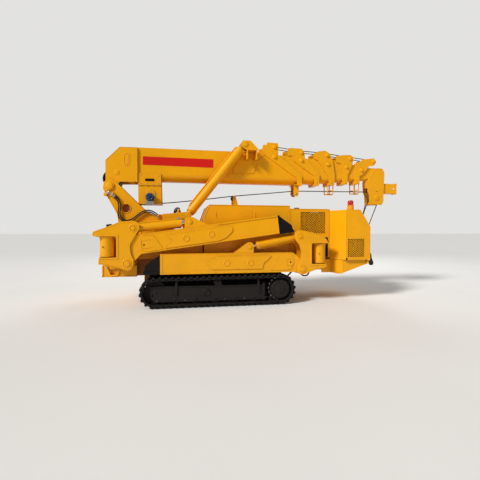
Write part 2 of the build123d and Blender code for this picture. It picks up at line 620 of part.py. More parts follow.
# ---------------------------------------------------------------- outriggers
F_KNUCKLE = [(-2096, 872), (-2088, 905), (-1957, 952), (-1803, 1016), (-1655, 1030), (-1604, 1003), (-1586, 957), (-1590, 929),
             (-1648, 835), (-1688, 763), (-1694, 718), (-1682, 643), (-1655, 585), (-1655, 523), (-1681, 472), (-1720, 457),
             (-1801, 484), (-1906, 513), (-2003, 532), (-2036, 533), (-2030, 600)]
F_OPEN = [(-2110, 852), (-1842, 852), (-1842, 610), (-2110, 610)]
R_KNUCKLE = [(272, 850), (285, 895), (310, 915), (352, 925), (518, 894), (638, 856), (699, 811), (735, 757), (505, 757), (505, 498), (700, 497),
             (704, 455), (520, 412), (427, 376), (385, 366), (340, 376), (312, 404), (308, 440), (322, 489), (363, 575), (367, 663),
             (340, 738), (301, 788)]
F_BEAM = [(-1600, 872), (60, 1106), (88, 880), (-1572, 646), (-1650, 560), (-1672, 514), (-1700, 488), (-1735, 482), (-1768, 500), (-1782, 536),
          (-1778, 575), (-1764, 660), (-1735, 760), (-1682, 860)]
R_BEAM = [(-1358, 400), (-1358, 642), (270, 642), (340, 578), (400, 486), (436, 450), (438, 420), (420, 392), (385, 380), (300, 400)]
F_EAR = [(-1075, 940), (-1071, 1062), (-1040, 1078), (-975, 1078), (-810, 990), (-810, 980)]
R_EAR = [(-485, 640), (-337, 752), (-300, 774), (-262, 772), (-237, 741), (-237, 640)]
TILT = math.radians(8.0)


def cyl_barrel(p, q, y, s):
    # short cylinder: eye on the knuckle, bored barrel, open toward the rod
    l = span(p, q)
    rod_between(along(p, q, 34), along(p, q, l - 92), y, 48)
    rod_y(p[0], p[1], 42, y - 40, y + 40)
    rod_between(along(p, q, 60), along(p, q, l), y, 24, Mode.SUBTRACT)
    rod_y(p[0], p[1], 22, y - 60, y + 60, Mode.SUBTRACT)


def cyl_rod(p, q, y, s):
    l = span(p, q)
    rod_between(along(p, q, 75), q, y, 20)
    rod_y(q[0], q[1], 36, y - 26, y + 26)
    rod_y(q[0], q[1], 30, y - 60, y + 60, Mode.SUBTRACT)


for name, s in (("left", -1), ("right", 1)):
    yc = s * ARM_Y
    yi, yo = s * KN_IN, s * KN_OUT

    with BuildPart() as knuckle:
        for a, b in ((KN_IN, KN_IN + KN_T), (KN_OUT - KN_T, KN_OUT)):
            slab(F_KNUCKLE, s * a, s * b)
        # arms above and below the pivot barrel, the back plate and the roof between the side plates
        slab([(-2080, 866), (-2080, 892), (-1830, 892), (-1830, 866)], s * KN_IN, s * KN_OUT)
        slab([(-2030, 574), (-2030, 600), (-1800, 600), (-1800, 574)], s * KN_IN, s * KN_OUT)
        slab([(-1842, 560), (-1842, 905), (-1822, 905), (-1822, 560)], s * KN_IN, s * KN_OUT)
        slab([(-1960, 930), (-1803, 998), (-1760, 1000), (-1760, 985), (-1800, 983), (-1955, 915)], s * KN_IN, s * KN_OUT)
        slab(F_OPEN, s * 440, s * 700, Mode.SUBTRACT)
        rod_z(FRONT_X, yc, 92, 852, 894)
        rod_z(FRONT_X, yc, 82, 572, 610)
        rod_z(FRONT_X, yc, 33, 572, 894)
        rod_y(FRONT_LOW[0], FRONT_LOW[1], 30, s * KN_IN, s * 662)
        rod_y(FRONT_UP[0], FRONT_UP[1], 20, s * KN_IN, s * 662)
        slab([(-2200, 400), (-HALF_LENGTH, 400), (-HALF_LENGTH, 1100), (-2200, 1100)], s * 400, s * 700, Mode.SUBTRACT)
    knuckle.part.label = "front_" + name + "_knuckle"
    export_step(knuckle.part, "parts/front_" + name + "_knuckle.step")

    with BuildPart() as beam:
        slab(F_BEAM, yc - BEAM_HALF, yc + BEAM_HALF)
        slab([(-1500, 868), (30, 1084), (58, 898), (-1500, 680)], yc - BEAM_HALF + 8, yc + BEAM_HALF - 8, Mode.SUBTRACT)
        slab(F_EAR, yc - 60, yc - 34)
        slab(F_EAR, yc + 34, yc + 60)
        rod_y(FRONT_EAR[0], FRONT_EAR[1], 16, yc - 68, yc - 34)
        rod_y(FRONT_EAR[0], FRONT_EAR[1], 16, yc + 34, yc + 68)
        rod_y(FRONT_LOW[0], FRONT_LOW[1], 32, yc - 100, yc + 100, Mode.SUBTRACT)
    beam.part.label = "front_" + name + "_beam"
    export_step(beam.part, "parts/front_" + name + "_beam.step")

    with BuildPart() as foot:
        slab([(76, 1106), (90, 1106), (104, 886), (90, 880)], yc - 66, yc + 66)
        slab([(88, 1100), (255, 985), (272, 926), (100, 902)], yc - 50, yc - 38)
        slab([(88, 1100), (255, 985), (272, 926), (100, 902)], yc + 38, yc + 50)
        slab([(92, 876), (92, 902), (276, 928), (278, 902)], yc - 70, yc + 70)
    foot.part.label = "front_" + name + "_foot"
    export_step(foot.part, "parts/front_" + name + "_foot.step")

    with BuildPart() as cylinder:
        cyl_barrel(FRONT_UP, FRONT_EAR, yc, s)
    cylinder.part.label = "front_" + name + "_cylinder"
    export_step(cylinder.part, "parts/front_" + name + "_cylinder.step")

    with BuildPart() as rod:
        cyl_rod(FRONT_UP, FRONT_EAR, yc, s)
    rod.part.label = "front_" + name + "_rod"
    export_step(rod.part, "parts/front_" + name + "_rod.step")

    with BuildPart() as knuckle:
        for a, b in ((KN_IN, KN_IN + KN_T), (KN_OUT - KN_T, KN_OUT)):
            slab(R_KNUCKLE, s * a, s * b)
        slab([(490, 765), (490, 790), (690, 790), (690, 765)], s * KN_IN, s * KN_OUT)
        slab([(470, 460), (470, 488), (690, 488), (690, 460)], s * KN_IN, s * KN_OUT)
        slab([(485, 470), (485, 800), (505, 800), (505, 470)], s * KN_IN, s * KN_OUT)
        rod_z(REAR_X, yc, 92, 757, 792)
        rod_z(REAR_X, yc, 82, 458, 497)
        rod_z(REAR_X, yc, 33, 458, 792)
        rod_y(REAR_LOW[0], REAR_LOW[1], 30, s * KN_IN, s * 662)
        rod_y(REAR_UP[0], REAR_UP[1], 20, s * KN_IN, s * 662)
    knuckle.part.label = "rear_" + name + "_knuckle"
    export_step(knuckle.part, "parts/rear_" + name + "_knuckle.step")

    with BuildPart() as beam:
        slab(R_BEAM, yc - BEAM_HALF, yc + BEAM_HALF)
        slab([(-1340, 420), (-1340, 622), (180, 622), (180, 420)], yc - BEAM_HALF + 8, yc + BEAM_HALF - 8, Mode.SUBTRACT)
        slab(R_EAR, yc - 60, yc - 34)
        slab(R_EAR, yc + 34, yc + 60)
        rod_y(REAR_EAR[0], REAR_EAR[1], 16, yc - 68, yc - 34)
        rod_y(REAR_EAR[0], REAR_EAR[1], 16, yc + 34, yc + 68)
        rod_y(REAR_LOW[0], REAR_LOW[1], 32, yc - 100, yc + 100, Mode.SUBTRACT)
    beam.part.label = "rear_" + name + "_beam"
    export_step(beam.part, "parts/rear_" + name + "_beam.step")

    with BuildPart() as foot:
        slab([(-1360, 628), (-1374, 628), (-1374, 400), (-1360, 400)], yc - 66, yc + 66)
        slab([(-1372, 622), (-1530, 500), (-1545, 430), (-1372, 430)], yc - 50, yc - 38)
        slab([(-1372, 622), (-1530, 500), (-1545, 430), (-1372, 430)], yc + 38, yc + 50)
        slab([(-1362, 404), (-1362, 432), (-1550, 432), (-1550, 404)], yc - 70, yc + 70)
    foot.part.label = "rear_" + name + "_foot"
    export_step(foot.part, "parts/rear_" + name + "_foot.step")

    with BuildPart() as cylinder:
        cyl_barrel(REAR_UP, REAR_EAR, yc, s)
    cylinder.part.label = "rear_" + name + "_cylinder"
    export_step(cylinder.part, "parts/rear_" + name + "_cylinder.step")

    with BuildPart() as rod:
        cyl_rod(REAR_UP, REAR_EAR, yc, s)
    rod.part.label = "rear_" + name + "_rod"
    export_step(rod.part, "parts/rear_" + name + "_rod.step")
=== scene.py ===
import bpy, bmesh, math
from mathutils import Vector, Matrix, Quaternion


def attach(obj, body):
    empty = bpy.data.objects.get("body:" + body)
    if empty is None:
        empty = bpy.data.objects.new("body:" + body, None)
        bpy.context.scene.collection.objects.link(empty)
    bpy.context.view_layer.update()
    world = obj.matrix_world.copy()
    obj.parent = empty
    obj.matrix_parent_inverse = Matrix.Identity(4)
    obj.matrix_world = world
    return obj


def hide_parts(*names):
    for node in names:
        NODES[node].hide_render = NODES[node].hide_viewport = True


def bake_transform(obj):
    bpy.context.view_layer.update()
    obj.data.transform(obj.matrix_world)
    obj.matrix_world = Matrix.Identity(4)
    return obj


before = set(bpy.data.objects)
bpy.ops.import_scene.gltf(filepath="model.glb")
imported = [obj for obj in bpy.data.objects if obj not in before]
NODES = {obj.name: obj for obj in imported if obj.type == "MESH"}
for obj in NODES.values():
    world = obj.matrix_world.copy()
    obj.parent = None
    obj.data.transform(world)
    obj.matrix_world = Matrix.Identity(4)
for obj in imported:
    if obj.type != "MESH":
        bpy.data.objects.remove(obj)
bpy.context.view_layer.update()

scene = bpy.context.scene

# ------------------------------------------------------------------ camera
cam_data = bpy.data.cameras.new("camera")
cam_data.sensor_width = 36.0
cam_data.lens = 25.875
cam = bpy.data.objects.new("camera", cam_data)
scene.collection.objects.link(cam)
cam.location = (-1.169, -4.75, 0.900)
cam.rotation_euler = (math.radians(88.67), 0.0, math.radians(-10.44))
scene.camera = cam


# ------------------------------------------------------------------ materials
def node(nt, kind, **props):
    n = nt.nodes.new(kind)
    for k, v in props.items():
        setattr(n, k, v)
    return n


def link(nt, a, b):
    nt.links.new(a, b)


def noise(nt, vec, scale, detail=4.0, rough=0.55, distortion=0.0):
    n = node(nt, "ShaderNodeTexNoise")
    n.inputs["Scale"].default_value = scale
    n.inputs["Detail"].default_value = detail
    n.inputs["Roughness"].default_value = rough
    n.inputs["Distortion"].default_value = distortion
    link(nt, vec, n.inputs["Vector"])
    return n.outputs["Fac"]


def remap(nt, val, a, b, c, d):
    n = node(nt, "ShaderNodeMapRange")
    n.inputs["From Min"].default_value = a
    n.inputs["From Max"].default_value = b
    n.inputs["To Min"].default_value = c
    n.inputs["To Max"].default_value = d
    link(nt, val, n.inputs["Value"])
    return n.outputs["Result"]


def math_node(nt, op, a, b=None):
    n = node(nt, "ShaderNodeMath", operation=op)
    n.use_clamp = op in ("MULTIPLY", "ADD", "SUBTRACT")
    for i, v in enumerate((a, b)):
        if v is None:
            continue
        if isinstance(v, (int, float)):
            n.inputs[i].default_value = v
        else:
            link(nt, v, n.inputs[i])
    return n.outputs[0]


def mix_col(nt, fac, a, b, blend="MIX"):
    n = node(nt, "ShaderNodeMix", data_type="RGBA", blend_type=blend)
    link(nt, fac, n.inputs[0])
    for sock, v in ((n.inputs[6], a), (n.inputs[7], b)):
        if isinstance(v, tuple):
            sock.default_value = (v[0], v[1], v[2], 1.0)
        else:
            link(nt, v, sock)
    return n.outputs[2]


def start_material(name):
    m = bpy.data.materials.new(name)
    m.use_nodes = True
    nt = m.node_tree
    nt.nodes.clear()
    out = node(nt, "ShaderNodeOutputMaterial")
    bsdf = node(nt, "ShaderNodeBsdfPrincipled")
    link(nt, bsdf.outputs["BSDF"], out.inputs["Surface"])
    tc = node(nt, "ShaderNodeTexCoord")
    return m, nt, bsdf, tc.outputs["Object"]


def tone(c, k):
    return (min(c[0] * k, 1.0), min(c[1] * k, 1.0), min(c[2] * k, 1.0))


def edge_mask(nt, radius):
    # how far the rounded normal leaves the true one: large on worn edges and corners
    bev = node(nt, "ShaderNodeBevel")
    bev.samples = 4
    bev.inputs["Radius"].default_value = radius
    geo = node(nt, "ShaderNodeNewGeometry")
    dot = node(nt, "ShaderNodeVectorMath", operation="DOT_PRODUCT")
    link(nt, bev.outputs["Normal"], dot.inputs[0])
    link(nt, geo.outputs["Normal"], dot.inputs[1])
    return remap(nt, dot.outputs["Value"], 0.99, 0.80, 0.0, 1.0)


def painted(name, col, rough=(0.30, 0.48), coat=0.06, spec=0.15, dust=0.24, wear=0.8, bare=(0.16, 0.12, 0.09), grime_and_shade=(0.10, 0.055, 0.02),
            dust_col=(0.36, 0.27, 0.17), metallic=0.0, peel=0.03):
    m, nt, b, vec = start_material(name)
    big = noise(nt, vec, 1.7, 4.0, 0.6)
    mid = noise(nt, vec, 11.0, 6.0, 0.62, 0.4)
    fine = noise(nt, vec, 90.0, 3.0, 0.5)
    # tone drift of sprayed paint
    drift = remap(nt, big, 0.3, 0.7, 0.0, 1.0)
    base = mix_col(nt, drift, tone(col, 0.93), tone(col, 1.05))
    blotch = math_node(nt, "MULTIPLY", remap(nt, mid, 0.56, 0.80, 0.0, 1.0), 0.30)
    base = mix_col(nt, blotch, base, tone(col, 0.72))
    # dust low on the machine, fading with height
    sep = node(nt, "ShaderNodeSeparateXYZ")
    link(nt, vec, sep.inputs[0])
    low = remap(nt, sep.outputs["Z"], 0.05, 0.95, 0.55, 0.03)
    low = math_node(nt, "MULTIPLY", low, remap(nt, mid, 0.35, 0.75, 0.15, 1.0))
    low = math_node(nt, "MULTIPLY", low, dust)
    base = mix_col(nt, low, base, dust_col)
    # grime tint laid into corners and creases by ambient occlusion: partly grime, partly painted shade where shade
    # falls
    ao = node(nt, "ShaderNodeAmbientOcclusion")
    ao.samples = 4
    ao.inputs["Distance"].default_value = 0.05
    corner_shade = remap(nt, ao.outputs["AO"], 0.62, 0.15, 0.0, 0.55)
    corner_shade = math_node(nt, "MULTIPLY", corner_shade, remap(nt, mid, 0.3, 0.7, 0.35, 1.0))
    base = mix_col(nt, corner_shade, base, grime_and_shade)
    # chipped edges
    chips = math_node(nt, "MULTIPLY", edge_mask(nt, 0.004), remap(nt, mid, 0.54, 0.68, 0.0, 1.0))
    chips = math_node(nt, "MULTIPLY", chips, wear)
    base = mix_col(nt, chips, base, bare)
    link(nt, base, b.inputs["Base Color"])
    r = remap(nt, mid, 0.25, 0.75, rough[0], rough[1])
    r = math_node(nt, "ADD", r, math_node(nt, "MULTIPLY", low, 0.5))
    link(nt, r, b.inputs["Roughness"])
    b.inputs["Metallic"].default_value = metallic
    b.inputs["Coat Weight"].default_value = coat
    b.inputs["Coat Roughness"].default_value = 0.16
    b.inputs["Specular IOR Level"].default_value = spec
    rnd = node(nt, "ShaderNodeBevel")
    rnd.samples = 4
    rnd.inputs["Radius"].default_value = 0.003
    bump = node(nt, "ShaderNodeBump")
    bump.inputs["Strength"].default_value = peel
    bump.inputs["Distance"].default_value = 0.002
    link(nt, fine, bump.inputs["Height"])
    link(nt, rnd.outputs["Normal"], bump.inputs["Normal"])
    link(nt, bump.outputs["Normal"], b.inputs["Normal"])
    return m


def worn_metal(name, col, rough=(0.25, 0.5), rust=0.25, metallic=1.0, stretch=(1.0, 1.0, 1.0)):
    m, nt, b, vec = start_material(name)
    mp = node(nt, "ShaderNodeMapping")
    mp.inputs["Scale"].default_value = stretch
    link(nt, vec, mp.inputs["Vector"])
    mid = noise(nt, mp.outputs["Vector"], 26.0, 6.0, 0.6)
    fine = noise(nt, mp.outputs["Vector"], 240.0, 3.0, 0.5)
    c = mix_col(nt, remap(nt, mid, 0.3, 0.7, 0.0, 1.0), tone(col, 0.75), tone(col, 1.15))
    spots = math_node(nt, "MULTIPLY", remap(nt, mid, 0.58, 0.74, 0.0, 1.0), rust)
    c = mix_col(nt, spots, c, (0.16, 0.06, 0.025))
    link(nt, c, b.inputs["Base Color"])
    link(nt, remap(nt, fine, 0.3, 0.7, rough[0], rough[1]), b.inputs["Roughness"])
    b.inputs["Metallic"].default_value = metallic
    bump = node(nt, "ShaderNodeBump")
    bump.inputs["Strength"].default_value = 0.12
    bump.inputs["Distance"].default_value = 0.0015
    link(nt, fine, bump.inputs["Height"])
    link(nt, bump.outputs["Normal"], b.inputs["Normal"])
    return m


def rubbery(name, col, rough=(0.62, 0.86), dust=0.55, grain=160.0):
    m, nt, b, vec = start_material(name)
    mid = noise(nt, vec, 13.0, 6.0, 0.65)
    fine = noise(nt, vec, grain, 3.0, 0.6)
    c = mix_col(nt, remap(nt, fine, 0.3, 0.7, 0.0, 1.0), tone(col, 0.7), tone(col, 1.4))
    d = math_node(nt, "MULTIPLY", remap(nt, mid, 0.46, 0.74, 0.0, 1.0), dust)
    c = mix_col(nt, d, c, (0.045, 0.030, 0.021))
    link(nt, c, b.inputs["Base Color"])
    link(nt, remap(nt, mid, 0.3, 0.7, rough[0], rough[1]), b.inputs["Roughness"])
    b.inputs["Specular IOR Level"].default_value = 0.22
    bump = node(nt, "ShaderNodeBump")
    bump.inputs["Strength"].default_value = 0.25
    bump.inputs["Distance"].default_value = 0.001
    link(nt, fine, bump.inputs["Height"])
    link(nt, bump.outputs["Normal"], b.inputs["Normal"])
    return m


def rope_material(name):
    # six strands laid round the wire rope, seen as slanting bands
    m, nt, b, vec = start_material(name)
    wave = node(nt, "ShaderNodeTexWave", wave_type="BANDS", bands_direction="DIAGONAL")
    wave.inputs["Scale"].default_value = 60.0
    wave.inputs["Distortion"].default_value = 0.3
    link(nt, vec, wave.inputs["Vector"])
    mid = noise(nt, vec, 9.0, 5.0, 0.6)
    c = mix_col(nt, wave.outputs["Fac"], (0.030, 0.026, 0.022), (0.17, 0.155, 0.14))
    c = mix_col(nt, remap(nt, mid, 0.45, 0.7, 0.0, 0.7), c, (0.05, 0.028, 0.016))
    link(nt, c, b.inputs["Base Color"])
    b.inputs["Metallic"].default_value = 0.7
    link(nt, remap(nt, mid, 0.3, 0.7, 0.38, 0.62), b.inputs["Roughness"])
    bump = node(nt, "ShaderNodeBump")
    bump.inputs["Strength"].default_value = 0.6
    bump.inputs["Distance"].default_value = 0.002
    link(nt, wave.outputs["Fac"], bump.inputs["Height"])
    link(nt, bump.outputs["Normal"], b.inputs["Normal"])
    return m


def lens_material(name, col):
    m, nt, b, vec = start_material(name)
    fine = noise(nt, vec, 60.0, 3.0, 0.5)
    c = mix_col(nt, remap(nt, fine, 0.3, 0.7, 0.0, 1.0), tone(col, 0.8), tone(col, 1.1))
    link(nt, c, b.inputs["Base Color"])
    link(nt, remap(nt, fine, 0.3, 0.7, 0.08, 0.2), b.inputs["Roughness"])
    b.inputs["Transmission Weight"].default_value = 0.35
    b.inputs["IOR"].default_value = 1.49
    b.inputs["Coat Weight"].default_value = 0.5
    bump = node(nt, "ShaderNodeBump")
    bump.inputs["Strength"].default_value = 0.05
    link(nt, fine, bump.inputs["Height"])
    link(nt, bump.outputs["Normal"], b.inputs["Normal"])
    return m


YEL = painted("paint_yellow", (0.84, 0.372, 0.002))
BLACK = painted("paint_black", (0.006, 0.0055, 0.005), rough=(0.38, 0.58), coat=0.02, dust=0.35, wear=0.5, bare=(0.12, 0.10, 0.09),
                grime_and_shade=(0.012, 0.010, 0.008), dust_col=(0.05, 0.04, 0.03))
CHAR = painted("paint_charcoal", (0.013, 0.0115, 0.0105), rough=(0.40, 0.62), coat=0.02, dust=0.4, wear=0.6, bare=(0.14, 0.11, 0.09),
               grime_and_shade=(0.012, 0.010, 0.008), dust_col=(0.05, 0.04, 0.03))
# main frame paint darkened to yellow-brown: painted shade for the frame that sits in shadow between tracks and
# outriggers
UNDERFRAME_SHADE = painted("paint_underframe", (0.30, 0.105, 0.003), wear=0.5, dust=0.5)
ORANGE = painted("paint_orange", (0.88, 0.33, 0.012), wear=0.3, dust=0.2)
RED = painted("panel_red", (0.62, 0.012, 0.008), rough=(0.34, 0.46), coat=0.05, wear=0.5, dust=0.15, bare=(0.45, 0.30, 0.24),
              grime_and_shade=(0.10, 0.02, 0.01), peel=0.01)
BLUE = painted("paint_blue", (0.009, 0.038, 0.120), rough=(0.32, 0.48), wear=0.7, bare=(0.2, 0.2, 0.2), dust=0.3, grime_and_shade=(0.01, 0.015, 0.03))
RUST = painted("primer_red", (0.30, 0.085, 0.03), rough=(0.5, 0.75), coat=0.0, wear=0.3)
RUBBER = rubbery("rubber_track", (0.009, 0.008, 0.0075), dust=0.3)
HOSE = rubbery("rubber_hose", (0.009, 0.008, 0.0075), rough=(0.50, 0.68), dust=0.12, grain=420.0)
STEEL = worn_metal("steel_worn", (0.34, 0.32, 0.30), rust=0.35)
CHROME = worn_metal("steel_chrome", (0.72, 0.72, 0.72), rough=(0.10, 0.22), rust=0.05)
ZINC = worn_metal("steel_zinc", (0.55, 0.52, 0.44), rough=(0.28, 0.45), rust=0.12)
CAST = worn_metal("cast_iron", (0.10, 0.095, 0.09), rough=(0.5, 0.75), rust=0.4, metallic=0.6)
ROPE = rope_material("wire_rope")
LENS_RED = lens_material("lens_red", (0.75, 0.012, 0.008))
# near-black finish for gaps, holes, slots and the space behind grilles: painted shade for the shade inside them
SHADE_DARK = rubbery("dark_inside", (0.010, 0.009, 0.008), rough=(0.7, 0.9), dust=0.2)

# ------------------------------------------------------------------ CAD nodes get their finish
NODE_MAT = {
    "tracks": RUBBER, "track_frames": CHAR, "sprockets": CHAR, "track_rollers": CAST, "main_frame": UNDERFRAME_SHADE, "slew_ring": CAST,
    "cabinet": YEL, "engine_cowl": YEL, "engine_hood": YEL, "hood_skirt": YEL, "grilles": YEL, "engine_block": CAST, "beacon": LENS_RED,
    "rope_roller_stand": YEL, "lashing_hoops": YEL, "hood_latches": HOSE, "turret": YEL, "lower_hose": HOSE, "upper_hose": HOSE, "boom_base": YEL,
    "winch_frame": YEL, "winch_drum": STEEL, "winch_motor": BLUE, "hose_sheave": BLACK, "luff_barrels": YEL, "luff_stages": CHROME,
    "luff_rods": CHROME, "boom_section_2": YEL, "boom_section_3": YEL, "boom_section_4": YEL, "boom_section_5": YEL,
    "boom_section_6": YEL, "head_sheave": CAST, "jib_stub": YEL, "hook_block": YEL, "hook": CAST,
}
for end in ("front", "rear"):
    for side in ("left", "right"):
        k = end + "_" + side + "_"
        NODE_MAT[k + "knuckle"] = YEL
        NODE_MAT[k + "beam"] = YEL
        NODE_MAT[k + "foot"] = BLACK
        NODE_MAT[k + "cylinder"] = YEL
        NODE_MAT[k + "rod"] = CHROME
for name, obj in NODES.items():
    mat = NODE_MAT.get(name, YEL)
    if not obj.material_slots:
        obj.data.materials.append(mat)
    for sl in obj.material_slots:
        sl.link = "OBJECT"
        sl.material = mat

# ------------------------------------------------------------------ two hoses that hang on the near post plate
HOSE_LOW = [
    (-1.9605, -0.201, 1.3591), (-1.9179, -0.201, 1.3284), (-1.89, -0.201, 1.2865), (-1.8779, -0.201, 1.2399),
    (-1.8809, -0.201, 1.1954), (-1.89, -0.201, 1.1507), (-1.8865, -0.201, 1.0997), (-1.8587, -0.201, 1.0542),
    (-1.8132, -0.201, 1.0275), (-1.7603, -0.201, 1.0241), (-1.7107, -0.201, 1.0434), (-1.6652, -0.201, 1.0764),
    (-1.6243, -0.201, 1.1113), (-1.5829, -0.201, 1.1403), (-1.5384, -0.201, 1.1571), (-1.493, -0.201, 1.1534),
    (-1.451, -0.201, 1.1318), (-1.413, -0.201, 1.1005),
]
HOSE_UP = [
    (-1.9475, -0.201, 1.3769), (-1.9021, -0.201, 1.3436), (-1.87, -0.201, 1.2955), (-1.8561, -0.201, 1.2421),
    (-1.8591, -0.201, 1.1926), (-1.868, -0.201, 1.1493), (-1.8655, -0.201, 1.1063), (-1.8433, -0.201, 1.0698),
    (-1.8068, -0.201, 1.0485), (-1.7637, -0.201, 1.0459), (-1.7213, -0.201, 1.0626), (-1.6788, -0.201, 1.0936),
    (-1.6377, -0.201, 1.1287), (-1.5931, -0.201, 1.1597), (-1.5416, -0.201, 1.1789), (-1.487, -0.201, 1.1746),
    (-1.439, -0.201, 1.1502), (-1.399, -0.201, 1.1175),
]


def hose_cord(name, node_name, route):
    cu = bpy.data.curves.new(name, "CURVE")
    cu.dimensions = "3D"
    sp = cu.splines.new("NURBS")
    sp.points.add(len(route) - 1)
    for pt, co in zip(sp.points, route):
        pt.co = (co[0], co[1], co[2], 1.0)
    sp.order_u = 3
    sp.use_endpoint_u = True
    cu.resolution_u = 10
    cu.bevel_depth = 0.008
    cu.bevel_resolution = 5
    cu.use_fill_caps = True
    cu.materials.append(HOSE)
    ob = bpy.data.objects.new(name, cu)
    scene.collection.objects.link(ob)
    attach(ob, "turret")
    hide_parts(node_name)
    return ob


hose_cord("hanging_hose_low", "lower_hose", HOSE_LOW)
hose_cord("hanging_hose_up", "upper_hose", HOSE_UP)

# ------------------------------------------------------------------ mesh helpers (mm in, metres out)
MM = 0.001
BAGS = {}


def bag(body, mat, kind="hard"):
    key = (body, mat.name, kind)
    if key not in BAGS:
        BAGS[key] = (bmesh.new(), mat)
    return BAGS[key][0]


def loop_faces(bm, rings, closed_ring=True, cap_a=True, cap_b=True, close_ends=False):
    vs = [[bm.verts.new((p[0] * MM, p[1] * MM, p[2] * MM)) for p in r] for r in rings]
    n = len(vs[0])
    m = len(vs)
    for i in range(m if close_ends else m - 1):
        a, b = vs[i], vs[(i + 1) % m]
        for j in range(n if closed_ring else n - 1):
            k = (j + 1) % n
            bm.faces.new((a[j], a[k], b[k], b[j]))
    if not close_ends:
        if cap_a:
            bm.faces.new(list(reversed(vs[0])))
        if cap_b:
            bm.faces.new(vs[-1])
    return vs


def prism(bm, pts, y0, y1):
    lo, hi = min(y0, y1), max(y0, y1)
    loop_faces(bm, [[(x, lo, z) for x, z in pts], [(x, hi, z) for x, z in pts]])


def planprism(bm, pts, z0, z1):
    loop_faces(bm, [[(x, y, z0) for x, y in pts], [(x, y, z1) for x, y in pts]])


def box(bm, x0, x1, y0, y1, z0, z1):
    y0, y1 = min(y0, y1), max(y0, y1)
    prism(bm, [(x0, z0), (x1, z0), (x1, z1), (x0, z1)], y0, y1)


def basis(axis):
    a = Vector(axis).normalized()
    ref = Vector((0, 0, 1)) if abs(a.z) < 0.9 else Vector((1, 0, 0))
    u = a.cross(ref).normalized()
    return a, u, a.cross(u).normalized()


def lathe(bm, p, axis, profile, n=32, phase=0.0):
    # profile: (distance along the axis, radius)
    a, u, v = basis(axis)
    p = Vector(p)
    rings = []
    for d, r in profile:
        c = p + a * d
        rings.append([tuple(c + (u * math.cos(phase + 2 * math.pi * i / n) + v * math.sin(phase + 2 * math.pi * i / n)) * r) for i in range(n)])
    loop_faces(bm, rings)


def cyl(bm, p, q, r, n=24, r2=None):
    d = Vector(q) - Vector(p)
    lathe(bm, p, d, [(0, r), (d.length, r if r2 is None else r2)], n)


def bolt(bm, p, axis, r=11, h=8, washer=True):
    # hexagon head with a chamfer, on a washer
    if washer:
        lathe(bm, p, axis, [(-1, r * 1.45), (1.6, r * 1.45), (2.4, r * 1.3)], 20)
    lathe(bm, p, axis, [(0, r), (h * 0.8, r), (h, r * 0.8)], 6)


def dome(bm, p, axis, r, h, n=32):
    prof = [(-1, r)] + [(h * math.sin(t), r * math.cos(t) ** 0.6) for t in (0.0, 0.35, 0.7, 1.0, 1.25)] + [(h, r * 0.2)]
    lathe(bm, p, axis, prof, n)


def pin_head(bm, p, axis, r, h, n=32):
    # turned pin end: chamfered disc with a sunk centre
    lathe(bm, p, axis, [(-1, r), (h * 0.6, r), (h, r * 0.82), (h, r * 0.42), (h * 0.65, r * 0.32)], n)


def torus(bm, p, axis, R, r, n=32, m=10):
    a, u, v = basis(axis)
    p = Vector(p)
    rings = []
    for i in range(n):
        t = 2 * math.pi * i / n
        d = u * math.cos(t) + v * math.sin(t)
        rings.append([tuple(p + d * (R + r * math.cos(2 * math.pi * j / m)) + a * (r * math.sin(2 * math.pi * j / m))) for j in range(m)])
    loop_faces(bm, rings, close_ends=True)


def tube_path(bm, pts, r, n=10, closed=False, radii=None):
    # round bar through the points, with frames carried along so that it does not twist
    P = [Vector(p) for p in pts]
    m = len(P)
    tang = []
    for i in range(m):
        if closed:
            d = P[(i + 1) % m] - P[i - 1]
        else:
            d = P[min(i + 1, m - 1)] - P[max(i - 1, 0)]
        tang.append(d.normalized())
    a, u, v = basis(tang[0])
    rings = []
    for i in range(m):
        if i:
            q = tang[i - 1].rotation_difference(tang[i])
            u = q @ u
        w = tang[i].cross(u).normalized()
        u = w.cross(tang[i]).normalized()
        rr = r if radii is None else radii[i]
        rings.append([tuple(P[i] + (u * math.cos(2 * math.pi * j / n) + w * math.sin(2 * math.pi * j / n)) * rr) for j in range(n)])
    loop_faces(bm, rings, close_ends=closed)


def smooth_pts(pts, per=6):
    # Catmull-Rom through the points
    P = [Vector(p) for p in pts]
    out = []
    for i in range(len(P) - 1):
        p0, p1, p2, p3 = P[max(i - 1, 0)], P[i], P[i + 1], P[min(i + 2, len(P) - 1)]
        for k in range(per):
            t = k / per
            out.append(0.5 * ((2 * p1) + (p2 - p0) * t + (2 * p0 - 5 * p1 + 4 * p2 - p3) * t * t + (3 * p1 - p0 - 3 * p2 + p3) * t ** 3))
    out.append(P[-1])
    return [tuple(p) for p in out]


def rounded(pts, r, n=4):
    # outline with its corners rounded
    out = []
    m = len(pts)
    for i in range(m):
        p, a, b = Vector(pts[i]), Vector(pts[i - 1]), Vector(pts[(i + 1) % m])
        da, db = (a - p), (b - p)
        k = min(r, da.length * 0.45, db.length * 0.45)
        s, e = p + da.normalized() * k, p + db.normalized() * k
        for j in range(n + 1):
            t = j / n
            out.append(tuple(s * (1 - t) ** 2 + p * 2 * t * (1 - t) + e * t * t))
    return out


def arc(cx, cz, r, a0, a1, n):
    return [(cx + r * math.cos(math.radians(a0 + (a1 - a0) * i / n)), cz + r * math.sin(math.radians(a0 + (a1 - a0) * i / n))) for i in range(n + 1)]


def bead(bm, pts_xz, y, r=3.0, closed=False):
    # weld bead or pressed ridge on a side face
    tube_path(bm, [(x, y, z) for x, z in pts_xz], r, 8, closed)


def along(p, q, d):
    l = math.hypot(q[0] - p[0], q[1] - p[1])
    return (p[0] + (q[0] - p[0]) * d / l, p[1] + (q[1] - p[1]) * d / l)


def span(p, q):
    return math.hypot(q[0] - p[0], q[1] - p[1])


def offset(p, q, k):
    # unit normal of a side-view line, times k (to the left of p -> q)
    l = span(p, q)
    return (-(q[1] - p[1]) / l * k, (q[0] - p[0]) / l * k)


